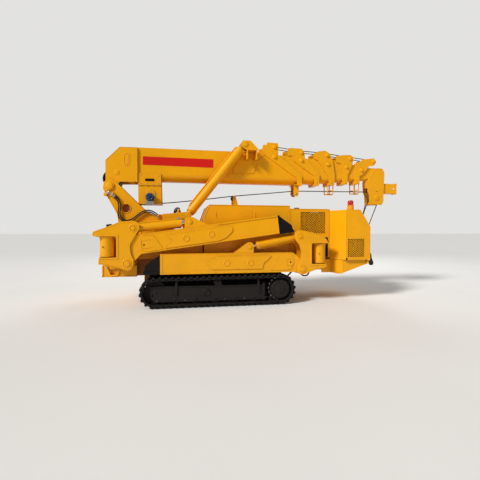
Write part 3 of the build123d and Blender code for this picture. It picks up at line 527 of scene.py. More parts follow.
def finish_mesh(name, bm, mat, kind):
    bmesh.ops.recalc_face_normals(bm, faces=bm.faces)
    me = bpy.data.meshes.new(name)
    bm.to_mesh(me)
    bm.free()
    me.shade_smooth()
    me.set_sharp_from_angle(angle=math.radians(32))
    ob = bpy.data.objects.new(name, me)
    me.materials.append(mat)
    scene.collection.objects.link(ob)
    if kind == "hard":
        bev = ob.modifiers.new("edges", "BEVEL")
        bev.width = 0.0012
        bev.segments = 2
        bev.limit_method = "ANGLE"
        bev.angle_limit = math.radians(40)
        bev.use_clamp_overlap = True
        bev.harden_normals = True
    return ob


def single(name, body, mat, bm, kind="hard", stands_for=()):
    ob = finish_mesh(name, bm, mat, kind)
    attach(ob, body)
    if stands_for:
        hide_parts(*stands_for)
    return ob


# ------------------------------------------------------------------ running gear
TRACK_IN, TRACK_OUT = 400, 655
IDL = (-1418, 184, 184)
SPR = (108, 190, 190)
LUG, BELT, LUGS = 18, 26, 58


def track_line(inset):
    ri, rs = IDL[2] - inset, SPR[2] - inset
    dx, dz = SPR[0] - IDL[0], SPR[1] - IDL[1]
    length = math.hypot(dx, dz)
    base = math.atan2(dz, dx)
    tilt = math.asin((rs - ri) / length)
    top, bottom = base + math.pi / 2 + tilt, base - math.pi / 2 - tilt
    run = math.sqrt(length ** 2 - (rs - ri) ** 2)
    arc_s, arc_i = rs * (top - bottom), ri * (2 * math.pi - (top - bottom))
    total = 2 * run + arc_s + arc_i

    def at(t):
        t = t % total
        if t < run:
            f, nx, nz = t / run, math.cos(bottom), math.sin(bottom)
            return IDL[0] + ri * nx + f * (dx + (rs - ri) * nx), IDL[1] + ri * nz + f * (dz + (rs - ri) * nz), nx, nz
        t -= run
        if t < arc_s:
            a = bottom + t / rs
            return SPR[0] + rs * math.cos(a), SPR[1] + rs * math.sin(a), math.cos(a), math.sin(a)
        t -= arc_s
        if t < run:
            f, nx, nz = t / run, math.cos(top), math.sin(top)
            return SPR[0] + rs * nx + f * (-dx + (ri - rs) * nx), SPR[1] + rs * nz + f * (-dz + (ri - rs) * nz), nx, nz
        t -= run
        a = top + t / ri
        return IDL[0] + ri * math.cos(a), IDL[1] + ri * math.sin(a), math.cos(a), math.sin(a)

    return at, total


bm_track = bmesh.new()
at, total = track_line(0)
pitch = total / LUGS
for s in (-1, 1):
    # belt: rounded cross-section carried round the loop
    rings = []
    sect = [(404, -LUG), (651, -LUG), (655, -LUG - 4), (655, -LUG - BELT + 4), (651, -LUG - BELT), (404, -LUG - BELT), (400, -LUG - BELT + 4), (400, -LUG - 4)]
    for i in range(LUGS * 4):
        x, z, nx, nz = at(i * pitch / 4)
        rings.append([(x + nx * d, s * y, z + nz * d) for y, d in sect])
    loop_faces(bm_track, rings, close_ends=True)
    for i in range(LUGS):
        # tread: two staggered rows of tapered lugs with a short overlap at the middle
        for row, (ya, yb) in enumerate(((506, 654), (401, 549))):
            t0 = (i + 0.28 + 0.5 * row) * pitch
            low, high = [], []
            for half, d, dst, trim in ((0.27, -LUG - 2, low, 0), (0.17, 0, high, 5)):
                corners = []
                for y, sgn in ((ya + trim, -1), (yb - trim, -1), (yb - trim, 1), (ya + trim, 1)):
                    skew = 0.06 * pitch * (1 if (y > 527) == (row == 0) else -1)
                    x, z, nx, nz = at(t0 + sgn * half * pitch + skew)
                    corners.append((x + nx * d, s * y, z + nz * d))
                dst.extend(corners)
            loop_faces(bm_track, [low, high])
        # rounded side shoulder beside each lug
        t0 = (i + 0.28) * pitch
        pts_o, pts_i = [], []
        for f, d in ((-0.36, -LUG - 6), (-0.2, -LUG + 6), (0.0, -LUG + 9), (0.2, -LUG + 6), (0.36, -LUG - 6), (0.2, -LUG - 16), (-0.2, -LUG - 16)):
            x, z, nx, nz = at(t0 + f * pitch)
            pts_o.append((x + nx * d, s * 655, z + nz * d))
            pts_i.append((x + nx * d, s * 640, z + nz * d))
        loop_faces(bm_track, [pts_i, pts_o])
        # guide teeth inside the belt, in pairs beside the wheel path
        for ya, yb in ((469, 486), (569, 586)):
            low, high = [], []
            for half, d, dst, trim in ((0.24, -LUG - BELT + 1, low, 0), (0.12, -LUG - BELT - 20, high, 3)):
                for y, sgn in ((ya + trim, -1), (yb - trim, -1), (yb - trim, 1), (ya + trim, 1)):
                    x, z, nx, nz = at(t0 + sgn * half * pitch)
                    dst.append((x + nx * d, s * y, z + nz * d))
            loop_faces(bm_track, [low, high])
single("rubber_tracks", "chassis", RUBBER, bm_track, "hard", ("tracks",))

ch, cs = bag("chassis", CHAR), bag("chassis", CHAR, "soft")
st = bag("chassis", STEEL)
bd = bag("chassis", CHAR)
for s in (-1, 1):
    yp = s * 604
    ax = (0, s, 0)
    # pressed rails along the frame panel, brackets and end plate
    prism(ch, [(-1452, 246), (-110, 240), (-110, 250), (-1456, 257)], yp, s * 613)
    prism(ch, [(-1436, 72), (-100, 68), (-100, 80), (-1440, 84)], yp, s * 611)
    prism(ch, rounded([(-1196, 150), (-1166, 150), (-1156, 318), (-1186, 318)], 8), s * 600, s * 622)
    prism(ch, rounded([(-187, 146), (-164, 146), (-164, 318), (-187, 318)], 6), s * 600, s * 622)
    prism(ch, [(-120, 64), (-94, 64), (-94, 268), (-120, 268)], s * 598, s * 616)
    prism(ch, rounded([(-716, 250), (-626, 250), (-640, 312), (-702, 312)], 8), s * 574, s * 606)
    cyl(ch, (-700, s * 574, 284), (-700, s * 612, 284), 15)
    # charcoal plates on the middle of the frame's flanks: painted shade for the shaded gap above the tracks; sleeves on
    # the cross tubes
    prism(ch, rounded([(-1500, 229), (190, 229), (190, 432), (-1500, 432)], 10), s * 348, s * 353)
    for x in (-1400, -1200, -900, -600, -200, 100):
        bolt(ch, (x, s * 353, 250), (0, s, 0), 8, 6)
    for x in (-1090, -360):
        box(ch, x - 63, x + 63, s * 352, s * 453, 147, 258)
        box(ch, x - 70, x + 70, s * 440, s * 455, 140, 265)
    # tensioner cover: ring with a near-black disc inside, painted shade in its hollow
    torus(cs, (-813, yp, 173), ax, 38, 9, 36, 10)
    lathe(bag("chassis", SHADE_DARK, "soft"), (-813, s * 600, 173), ax, [(0, 34), (6, 34), (7, 30)], 28)
    for x in (-1190, -950, -710, -470, -230):
        bolt(bd, (x, yp, 98), ax, 12, 9)
    for x in (-1400, -1070, -590, -350):
        bolt(st, (x, yp, 88), ax, 6, 5, False)
    bolt(bd, (IDL[0], yp, IDL[1]), ax, 18, 10)
    for x in (-1452, -1452):
        bolt(bd, (x, yp, 152), ax, 8, 7)
    # final drive cover with a bolt circle, sprocket rim and teeth
    lathe(cs, (SPR[0], s * 606, SPR[1]), ax, [(0, 118), (8, 118), (12, 112), (12, 66), (16, 60), (18, 20)], 48)
    for i in range(10):
        t = 2 * math.pi * i / 10
        bolt(ch, (SPR[0] + 92 * math.cos(t), s * 617, SPR[1] + 92 * math.sin(t)), ax, 8, 7)
    for i in range(17):
        t = 2 * math.pi * (i + 0.3) / 17
        c, n_ = math.cos(t), math.sin(t)
        pts = [(132, -17), (146, -9), (147, 9), (132, 17)]
        prism(st, [(SPR[0] + r * c - w * n_, SPR[1] + r * n_ + w * c) for r, w in pts], s * 496, s * 558)
    # idler spokes ring
    lathe(cs, (IDL[0], s * 566, IDL[1]), ax, [(0, 134), (5, 134), (6, 112), (2, 108), (2, 54), (9, 50), (10, 30)], 40)
    for x in (-1190, -950, -710, -470, -230):
        lathe(cs, (x, s * 468, 98), (0, s, 0), [(0, 44), (2, 54), (24, 54), (26, 50), (92, 50), (94, 54), (116, 54), (118, 44)], 28)

# ------------------------------------------------------------------ chassis ends, slew pedestal
ye, ys = bag("chassis", YEL), bag("chassis", YEL, "soft")
for s in (-1, 1):
    ax = (0, s, 0)
    for z0, z1 in ((616, 634), (828, 846)):
        lathe(ys, (-1956, s * 560, z0), (0, 0, 1), [(0, 79), (2, 84), (z1 - z0 - 2, 84), (z1 - z0, 79)], 40)
    for z0, z1 in ((506, 524), (730, 748)):
        lathe(ys, (640, s * 560, z0), (0, 0, 1), [(0, 79), (2, 84), (z1 - z0 - 2, 84), (z1 - z0, 79)], 40)
    for x, z in ((-1956, 731), (640, 627)):
        lathe(bag("chassis", RUST), (x - 30, s * 632, z), (-0.4, s, 0), [(0, 7), (8, 7), (9, 4), (16, 4), (18, 6), (22, 3)], 8)
    # gussets under the pivots, front plate rim
    prism(ye, [(-2020, 540), (-1912, 540), (-1912, 640), (-2000, 640)], s * 386, s * 398)
    prism(ye, [(-2036, 364), (-1640, 364), (-1640, 376), (-2036, 376)], s * 450, s * 456)
    prism(ye, [(-2036, 364), (-2022, 364), (-2022, 499), (-2036, 499)], s * 450, s * 456)
    bead(ys, [(-1642, 380), (-1642, 498)], s * 449, 4)
    # back plate of the lashing pocket
    box(ye, -1954, -1846, min(s * 418, s * 425), max(s * 418, s * 425), 386, 466)
    # lashing point pads
    for x in (-1976, -1826):
        bolt(bag("chassis", ZINC), (x, s * 466, 475), ax, 7, 6)
    tube_path(bag("chassis", BLACK, "soft"), smooth_pts([(452, s * 342, 396), (466, s * 352, 352), (492, s * 358, 322), (528, s * 360, 314), (560, s * 358, 322), (584, s * 352, 352), (594, s * 342, 396)], 5), 9, 10)
    cyl(bag("chassis", BLACK), (232, s * 398, 280), (372, s * 348, 400), 11, 16)
    lathe(bag("chassis", BLACK), (232, s * 398, 280), (0.76, -0.27 * s, 0.65), [(-4, 17), (16, 17), (18, 12)], 16)
# tow eye and step plate on the front face
for y in (-180, 180):
    prism(ye, rounded([(-2060, 430), (-2030, 400), (-2030, 520), (-2060, 490)], 10), y - 10, y + 10)
box(ye, -2046, -2034, -330, 330, 500, 512)
# bolted cover and two lifting lugs on the front box
box(ye, -2037, -2029, -270, 270, 592, 800)
for y in (-245, -82, 82, 245):
    for z in (612, 780):
        bolt(bag("chassis", ZINC), (-2037, y, z), (-1, 0, 0), 8, 6)
for y in (-330, 330):
    prism(ye, rounded([(-1990, 838), (-1930, 838), (-1942, 880), (-1978, 880)], 10), y - 8, y + 8)
    torus(ys, (-1960, y, 860), (0, 1, 0), 11, 3, 24, 8)
for i in range(8):
    bolt(bag("chassis", ZINC), (-2036, -364 + 104 * i, 532), (-1, 0, 0), 8, 6)
for i in range(28):
    t = 2 * math.pi * i / 28
    bolt(bag("chassis", STEEL), (-1517 + 272 * math.cos(t), 272 * math.sin(t), 973), (0, 0, 1), 8, 5, False)
# pedestal ribs
for i in range(12):
    t = 2 * math.pi * (i + 0.5) / 12
    c, n_ = math.cos(t), math.sin(t)
    if abs(c) > 0.9 and c < 0:
        continue
    pts = [(326, 702), (350, 702), (350, 740), (332, 930), (326, 930)]
    ring = lambda w: [(-1517 + r * c - w * n_, r * n_ + w * c, z) for r, z in pts]
    loop_faces(ye, [ring(-6), ring(6)])

# ------------------------------------------------------------------ cabinet, cowl, hood
DK_SHADE = bag("chassis", SHADE_DARK)
for s in (-1, 1):
    ax = (0, s, 0)
    # roof lip and corner trims of the cabinet
    prism(ye, [(-758, 1236), (302, 1236), (302, 1246), (-762, 1246)], s * 392, s * 404)
    prism(ye, [(-828, 1072), (-763, 1245), (-754, 1242), (-818, 1070)], s * 396, s * 403)
    # service doors, a little proud, with hinges and flush latches
    for x0, x1 in ((-690, -210), (-180, 270)):
        prism(ye, rounded([(x0, 690), (x1, 690), (x1, 1196), (x0, 1196)], 22, 5), s * 399, s * 402.5)
        for z in (760, 1120):
            cyl(ys, (x0 + 10, s * 403, z - 30), (x0 + 10, s * 403, z + 30), 6, 12)
        lathe(bag("chassis", BLACK), (x1 - 40, s * 402, 950), ax, [(0, 26), (3, 26), (5, 22), (5, 16), (3, 14)], 24)
        box(bag("chassis", ZINC), x1 - 44, x1 - 36, s * 404, s * 408, 938, 962)
    # dark strip where the cowl meets the hood: painted shade for the shaded gap there; panel edge and screws
    prism(DK_SHADE, rounded([(796, 566), (836, 566), (836, 830), (796, 830)], 6), s * 399.5, s * 402)
    prism(ye, [(303, 562), (312, 562), (312, 1207), (303, 1207)], s * 399, s * 402.5)
    prism(ye, [(303, 1198), (858, 1198), (858, 1208), (303, 1208)], s * 398, s * 403)
    for x, z in ((330, 1180), (330, 860), (838, 1180), (838, 860)):
        bolt(ye, (x, s * 400, z), ax, 6, 4)
    # dark rubber stop at the hood's lower corner
    lathe(bag("chassis", HOSE, "soft"), (990, s * 624, 552), ax, [(0, 12), (6, 12), (9, 8)], 20)
    # grille frames: folded rims round the openings
    for x0, x1, z0, z1, yf in ((448, 788, 885, 1165, 400), (1008, 1232, 580, 810, 625)):
        for a in ([(x0 - 8, z0 - 8), (x1 + 8, z0 - 8), (x1 + 8, z0), (x0 - 8, z0)], [(x0 - 8, z1), (x1 + 8, z1), (x1 + 8, z1 + 8), (x0 - 8, z1 + 8)],
                  [(x0 - 8, z0), (x0, z0), (x0, z1), (x0 - 8, z1)], [(x1, z0), (x1 + 8, z0), (x1 + 8, z1), (x1, z1)]):
            prism(ye, a, s * (yf - 6), s * (yf + 2))
        # dark sheet behind the mesh: painted shade for the space behind the grille
        box(DK_SHADE, x0 + 2, x1 - 2, s * (yf - 20), s * (yf - 18), z0 + 2, z1 - 2)
    # hood edge ridges
    bead(ys, [(984, 542), (984, 1186)], s * 625, 2.5)
    bead(ys, [(984, 1187), (1180, 1187), (1322, 968), (1322, 540)], s * 624.5, 2.5)
    # hood hinges on the side
    for x in (1050, 1150):
        cyl(ys, (x - 26, s * 600, 1187), (x + 26, s * 600, 1187), 5, 12)


def clip_bar(x0, x1, z0, z1, px, pz, dx, dz):
    # part of a line that lies inside a rectangle
    t0, t1 = -1e9, 1e9
    for p, d, a, b in ((px, dx, x0, x1), (pz, dz, z0, z1)):
        if abs(d) < 1e-9:
            continue
        ta, tb = (a - p) / d, (b - p) / d
        t0, t1 = max(t0, min(ta, tb)), min(t1, max(ta, tb))
    return None if t1 - t0 < 4 else (t0, t1)


# expanded-metal panels in the four openings
CELL_X, CELL_Z = 36.0, 24.0
bm_mesh = bmesh.new()
for s in (-1, 1):
    for x0, x1, z0, z1, y0, y1 in ((450, 786, 887, 1163, 391, 395), (1010, 1230, 582, 808, 616, 620)):
        for slope in (-1, 1):
            dx, dz = CELL_X, CELL_Z * slope
            l = math.hypot(dx, dz)
            ux, uz = dx / l, dz / l
            nx_, nz_ = -uz, ux
            x = x0 - (z1 - z0) * CELL_X / CELL_Z - CELL_X
            while x < x1 + (z1 - z0) * CELL_X / CELL_Z + CELL_X:
                hit = clip_bar(x0, x1, z0, z1, x, z0 if slope > 0 else z1, ux, uz)
                if hit:
                    ax_, az_ = x + ux * hit[0], (z0 if slope > 0 else z1) + uz * hit[0]
                    bx_, bz_ = x + ux * hit[1], (z0 if slope > 0 else z1) + uz * hit[1]
                    w = 3.0
                    quad = [(ax_ - nx_ * w, az_ - nz_ * w), (bx_ - nx_ * w, bz_ - nz_ * w), (bx_ + nx_ * w, bz_ + nz_ * w), (ax_ + nx_ * w, az_ + nz_ * w)]
                    k = 0.6 if slope > 0 else 0.0
                    prism(bm_mesh, quad, s * (y0 + k), s * (y1 + k))
                x += CELL_X
single("grille_mesh", "chassis", YEL, bm_mesh, "soft", ("grilles",))

# rear face of the hood: door seam, louvres, lamps left plain, tow bar
box(ye, 1321, 1324.5, -420, 420, 600, 900)
for i in range(7):
    z = 640 + i * 34
    # dark strips in the louvre gaps: painted shade
    prism(DK_SHADE, [(1322, z), (1326, z), (1326, z + 12), (1322, z + 12)], -300, 300)
    prism(ye, [(1322, z + 12), (1336, z + 4), (1337, z + 6), (1324, z + 18)], -304, 304)
for y in (-400, 400):
    for z in (640, 860):
        bolt(bag("chassis", ZINC), (1324, y, z), (1, 0, 0), 7, 5)
for y in (-330, 330):
    cyl(ys, (1330, y - 28, 902), (1330, y + 28, 902), 6, 12)
prism(ye, rounded([(1312, 505), (1350, 505), (1350, 528), (1312, 528)], 6), -240, 240)
for y in (-160, 160):
    tube_path(bag("chassis", BLACK, "soft"), smooth_pts([(1318, y - 50, 740 - 200), (1345, y - 46, 545), (1352, y - 30, 552), (1352, y + 30, 552), (1345, y + 46, 545), (1318, y + 50, 540)], 5), 7, 10)
# roof items: filler cap, breather, exhaust outlet, bolts
lathe(bag("chassis", BLACK, "soft"), (120, 250, 1240), (0, 0, 1), [(0, 46), (8, 46), (10, 40), (26, 40), (30, 34), (31, 8)], 32)
lathe(bag("chassis", ZINC, "soft"), (-560, 240, 1240), (0, 0, 1), [(0, 30), (6, 30), (7, 16), (22, 16), (23, 24), (44, 24), (48, 18)], 28)
lathe(bag("chassis", CAST, "soft"), (620, 230, 1204), (0, 0, 1), [(0, 62), (6, 62), (8, 38), (60, 38), (60, 33), (20, 33)], 32)
for x in (-700, -300, 60):
    for y in (-370, 370):
        bolt(bag("chassis", ZINC), (x, y, 1243), (0, 0, 1), 7, 5)
box(ye, -720, 280, -300, 300, 1242, 1245)

# rope roller: grooved wheel and pins
lathe(bag("chassis", HOSE, "soft"), (-390, -60, 1368), (0, 1, 0), [(0, 30), (6, 30), (30, 22), (90, 22), (114, 30), (120, 30)], 32)
for s in (-1, 1):
    pin_head(bag("chassis", ZINC), (-390, s * 74, 1368), (0, s, 0), 15, 8, 20)
    for x in (-402, -332):
        bolt(bag("chassis", ZINC), (x, s * 82, 1253), (0, 0, 1), 6, 5)

# warning lamp: base with a flange, ribbed lens
bm_lamp = bmesh.new()
lathe(bm_lamp, (1106, -500, 1252), (0, 0, 1), [(0, 36), (0, 38), (4, 39), (8, 37), (12, 38.5), (16, 37), (20, 38.5), (24, 37), (28, 38.5), (32, 37), (36, 38), (52, 36), (60, 32), (66, 24), (69, 12), (69.5, 2)], 40)
single("lamp_lens", "chassis", LENS_RED, bm_lamp, "soft", ("beacon",))
bo = bag("chassis", ORANGE, "soft")
lathe(bo, (1106, -500, 1188), (0, 0, 1), [(0, 46), (5, 46), (7, 42), (50, 41), (52, 43), (60, 43), (64, 40), (64, 20)], 40)
for i in range(4):
    t = math.pi / 4 + i * math.pi / 2
    bolt(bag("chassis", ZINC), (1106 + 52 * math.cos(t), -500 + 52 * math.sin(t), 1188), (0, 0, 1), 5, 5)

# rubber latches on the hood's rear edge
bm_latch = bmesh.new()
for s in (-1, 1):
    y = s * 602
    box(bm_latch, 1320, 1330, y - 22, y + 22, 585, 628)
    tube_path(bm_latch, smooth_pts([(1330, y, 618), (1340, y, 606), (1345, y, 585), (1347, y, 562), (1347, y, 545)], 5), 10, 12)
    lathe(bm_latch, (1350, y, 464), (0, 0, 1), [(0, 10), (4, 20), (14, 28), (30, 30), (46, 27), (62, 20), (80, 13), (94, 10.5)], 28)
    box(bm_latch, 1321, 1336, y - 14, y + 14, 508, 522)
    box(bag("chassis", YEL), 1292, 1322, min(y, y / 602 * 574), max(y, y / 602 * 574), 488, 530)
single("latch_straps", "chassis", HOSE, bm_latch, "soft", ("hood_latches",))

# ------------------------------------------------------------------ outriggers
F_LOW, F_UP, F_EARP = (-1726, 536), (-1658, 943), (-1011, 1019)
R_LOW, R_UP, R_EARP = (385, 434), (348, 846), (-287, 717)


def outrigger(end, side, s):
    k = end + "_" + side + "_"
    kn, kz = bag(k + "knuckle", YEL), bag(k + "knuckle", ZINC)
    kns = bag(k + "knuckle", YEL, "soft")
    be, bes = bag(k + "beam", YEL), bag(k + "beam", YEL, "soft")
    ax = (0, s, 0)
    yk, yb = s * 652, s * 632
    low, up, ear = (F_LOW, F_UP, F_EARP) if end == "front" else (R_LOW, R_UP, R_EARP)
    # pins in the side plates: collar and turned head
    for p, r in ((low, 44), (up, 36)):
        lathe(kns, (p[0], s * 651, p[1]), ax, [(0, r + 13), (3, r + 12), (7, r + 5), (7, r), (2, r - 3), (2, r - 7), (9, r - 11), (10.4, r - 15), (10.4, 4)], 44)
        lathe(kns, (p[0], s * 469, p[1]), (0, -s, 0), [(0, r + 8), (6, r + 6), (10, r - 2), (11, r * 0.4)], 32)
    if end == "front":
        # folded rim round the C opening and its inner lips
        prism(kn, [(-2056, 852), (-1842, 852), (-1842, 610), (-2028, 610), (-2026, 590), (-1818, 590), (-1818, 872), (-2064, 872)], s * 650, s * 656)
        prism(kn, [(-2064, 846), (-1848, 846), (-1848, 852), (-2064, 852)], s * 470, s * 652)
        prism(bag(k + "knuckle", HOSE), rounded([(-1944, 948), (-1890, 970), (-1898, 992), (-1950, 984)], 8), s * 590, s * 648)
        bead(kns, [(-2090, 890), (-1958, 938), (-1806, 1000), (-1668, 1014)], s * 652, 2.2)
        bead(kns, [(-2026, 546), (-1906, 526), (-1801, 497), (-1745, 476)], s * 652, 2.2)
    else:
        prism(kn, [(716, 757), (505, 757), (505, 498), (690, 498), (694, 478), (482, 478), (482, 777), (716, 777)], s * 650, s * 656)
        bead(kns, [(318, 905), (356, 914), (520, 882), (632, 846), (690, 806)], s * 652, 2.2)
        bead(kns, [(696, 466), (520, 424), (440, 392)], s * 652, 2.2)
        prism(bag(k + "knuckle", HOSE), rounded([(690, 800), (728, 760), (736, 784), (706, 818)], 6), s * 600, s * 648)
    px, pz = (-1956, 894) if end == "front" else (640, 792)
    lathe(kns, (px, s * 560, pz - 4), (0, 0, 1), [(0, 60), (6, 60), (9, 54), (10, 20)], 36)
    for i in range(6):
        t = 2 * math.pi * i / 6
        bolt(kz, (px + 40 * math.cos(t), s * 560 + 40 * math.sin(t), pz + 2), (0, 0, 1), 6, 5, False)

    # beam: doubler plates, ridges, pads
    for sg, y0 in ((s, s * 632), (-s, s * 488)):
        y3 = y0 + sg * (9.0 if sg == s else 4.6)
        y4 = y0 + sg * 4.6
        axb = (0, sg, 0)
        if end == "front":
            prism(be, rounded([(-1302, 862), (-1206, 803), (-1308, 712), (-668, 800), (-585, 838), (-520, 896), (-500, 934), (-520, 968), (-570, 972)], 14), y0 - sg, y3)
            bead(bes, rounded([(-1302, 862), (-1206, 803), (-1308, 712), (-668, 800), (-585, 838), (-520, 896), (-500, 934), (-520, 968), (-570, 972)], 14), y3 - sg * 2.5, 5.0, True)
            if sg == s:
                prism(be, [(-1592, 838), (-1560, 856), (-1437, 864), (-1323, 702), (-1520, 672), (-1592, 690)], y0 - sg, y4)
                bead(bes, [(-1540, 857), (-1437, 864), (-1323, 702), (-1500, 676)], y4 - sg * 1.5, 4.0)
                bead(bes, [(-1466, 812), (-1574, 797), (-1562, 706), (-1446, 722)], y4, 5.0)
                # near-black disc: painted shade in a small hole
                lathe(bag(k + "beam", SHADE_DARK, "soft"), (-1538, y4 - sg, 750), axb, [(0, 10), (2.4, 10), (3, 8)], 20)
            prism(be, [(-684, 984), (56, 1089), (58, 1104), (-686, 999)], y0 - sg, y3)
            prism(be, [(-636, 781), (86, 883), (84, 904), (-600, 806)], y0 - sg, y3)
            for cx, cz in ((-1059, 826), (-760, 875)):
                torus(bes, (cx, y3, cz), axb, 33, 7.0, 36, 10)
                lathe(bes, (cx, y3 - sg * 1.5, cz), axb, [(0, 29), (2.4, 29), (3, 26)], 32)
            bead(bes, [(-1560, 866), (60, 1094)], y0, 2.4)
            prism(be, [(50, 1100), (62, 1102), (88, 884), (76, 882)], y0 - sg, y0 + sg * 4)
        else:
            prism(be, rounded([(-22, 612), (-60, 566), (-120, 520), (-132, 452), (-742, 452), (-827, 532), (-700, 606)], 14), y0 - sg, y3)
            bead(bes, rounded([(-22, 612), (-60, 566), (-120, 520), (-132, 452), (-742, 452), (-827, 532), (-700, 606)], 14), y3 - sg * 2.5, 5.0, True)
            if sg == s:
                prism(be, [(104, 632), (-24, 430), (230, 430), (286, 520), (262, 632)], y0 - sg, y4)
                bead(bes, [(240, 630), (104, 632), (-24, 430), (220, 430)], y4 - sg * 1.5, 4.0)
                bead(bes, rounded([(176, 562), (256, 562), (256, 482), (176, 482)], 20), y4, 5.0, True)
                # near-black disc: painted shade in a small hole
                lathe(bag(k + "beam", SHADE_DARK, "soft"), (232, y4 - sg, 525), axb, [(0, 10), (2.4, 10), (3, 8)], 20)
            prism(be, [(-1358, 402), (-700, 402), (-735, 436), (-990, 436), (-1010, 418), (-1358, 418)], y0 - sg, y3)
            prism(be, [(-1357, 404), (-1333, 404), (-1333, 640), (-1357, 640)], y0 - sg, y0 + sg * 4)
            for cx, cz in ((-574, 525), (-280, 523)):
                torus(bes, (cx, y3, cz), axb, 33, 7.0, 36, 10)
                lathe(bes, (cx, y3 - sg * 1.5, cz), axb, [(0, 29), (2.4, 29), (3, 26)], 32)
            bead(bes, [(-1330, 636), (240, 636)], y0, 2.4)
    # ear pin heads
    for yy, sg in ((s * 628, s), (s * 492, -s)):
        lathe(bes, (ear[0], yy - sg * 2, ear[1]), (0, sg, 0), [(0, 26), (3, 25), (5, 20), (6, 8)], 28)
    # foot: bolts on the back plate, ribs
    fo, fz = bag(k + "beam", BLACK), bag(k + "beam", BLACK)
    if end == "front":
        for yy in (-46, 46):
            for z in (920, 1066):
                bolt(fz, (97, s * 560 + yy + 0, z), (0.99, 0, 0.12), 8, 6)
        prism(fo, [(100, 1040), (190, 1000), (196, 984), (110, 960)], s * 560 - 38, s * 560 + 38)
        prism(fo, [(96, 874), (280, 900), (278, 908), (94, 884)], s * 560 - 74, s * 560 + 74)
    else:
        for yy in (-46, 46):
            for z in (452, 600):
                bolt(fz, (-1375, s * 560 + yy, z), (-1, 0, 0), 8, 6)
        prism(fo, [(-1376, 560), (-1460, 520), (-1466, 500), (-1376, 480)], s * 560 - 38, s * 560 + 38)
        prism(fo, [(-1362, 402), (-1552, 402), (-1552, 410), (-1362, 410)], s * 560 - 74, s * 560 + 74)
    # cylinder: gland, end bands, feed pipe, valve block with hose stubs
    cy, cys, cz_ = bag(k + "cylinder", YEL), bag(k + "cylinder", YEL, "soft"), bag(k + "cylinder", ZINC)
    l = span(up, ear)
    d3 = (ear[0] - up[0], 0, ear[1] - up[1])
    for d0, d1, r in ((38, 54, 50), (l - 140, l - 93, 51)):
        p = along(up, ear, d0)
        lathe(cys, (p[0], s * 560, p[1]), d3, [(0, 46), (2, r), (d1 - d0 - 2, r), (d1 - d0, 46)], 36)
    nrm = offset(up, ear, 1)
    for side_k, y in ((38, s * 560 + s * 12),):
        a, b = along(up, ear, 70), along(up, ear, l - 130)
        pts = [(a[0] + nrm[0] * 44, y, a[1] + nrm[1] * 44), (a[0] + nrm[0] * 54, y, a[1] + nrm[1] * 54), (along(up, ear, 96)[0] + nrm[0] * 55, y, along(up, ear, 96)[1] + nrm[1] * 55),
               (along(up, ear, l - 170)[0] + nrm[0] * 55, y, along(up, ear, l - 170)[1] + nrm[1] * 55), (b[0] + nrm[0] * 54, y, b[1] + nrm[1] * 54), (b[0] + nrm[0] * 44, y, b[1] + nrm[1] * 44)]
        tube_path(cys, smooth_pts(pts, 4), 6, 10)
    v = along(up, ear, l - 122)
    n40 = (nrm[0] * 46, nrm[1] * 46)
    bx = [(v[0] - 26 + n40[0], v[1] + n40[1] - 4), (v[0] + 18 + n40[0], v[1] + n40[1] - 2), (v[0] + 16 + n40[0], v[1] + n40[1] + 22), (v[0] - 28 + n40[0], v[1] + n40[1] + 20)]
    prism(cz_, bx, s * 545, s * 585)
    lathe(cz_, (v[0] - 6 + n40[0], s * 585, v[1] + n40[1] + 8), ax, [(0, 8), (8, 8), (9, 6), (16, 6)], 6)


for side, s in (("left", -1), ("right", 1)):
    for end in ("front", "rear"):
        outrigger(end, side, s)

# ------------------------------------------------------------------ turret
tu, tus, tz = bag("turret", YEL), bag("turret", YEL, "soft"), bag("turret", ZINC)
for i in range(24):
    t = 2 * math.pi * i / 24
    if abs(276 * math.sin(t)) > 190 or -1517 + 276 * math.cos(t) < -1700:
        bolt(tz, (-1517 + 276 * math.cos(t), 276 * math.sin(t), 1011), (0, 0, 1), 9, 7)
for s in (-1, 1):
    ax = (0, s, 0)
    # boom foot pin, hole collar, plate edge ridge
    lathe(tus, (-1990, s * 178, 1480), ax, [(0, 58), (4, 57), (6, 44), (9, 42), (16, 40), (19, 30), (19.5, 10)], 44)
    torus(tus, (-1794, s * 173, 1202), ax, 55, 5, 44, 8)
    lathe(bag("turret", RUST, "soft"), (-1794, s * 146, 1202), ax, [(0, 10), (0, 60), (3, 60), (3, 10)], 36)
    bead(tus, [(-1915, 1528), (-1556, 1170)], s * 172, 2.6)
    bead(tus, [(-2046, 1410), (-1900, 1136), (-1886, 1020)], s * 172, 2.6)
    torus(tus, (-1794, s * 172, 1202), ax, 57, 7, 44, 10)
    # eye pins of the luff cylinders
    lathe(tus, (-1026, s * 262, 1112), ax, [(0, 42), (5, 40), (7, 30), (7.5, 12)], 36)
    bolt(tz, (-1076, s * 258, 1112), ax, 7, 5)
    # doubler on the arm
    prism(tu, rounded([(-1330, 1040), (-1250, 1024), (-1150, 1072), (-1060, 1072), (-1060, 1140), (-1200, 1134), (-1330, 1122)], 12), s * 257, s * 261)
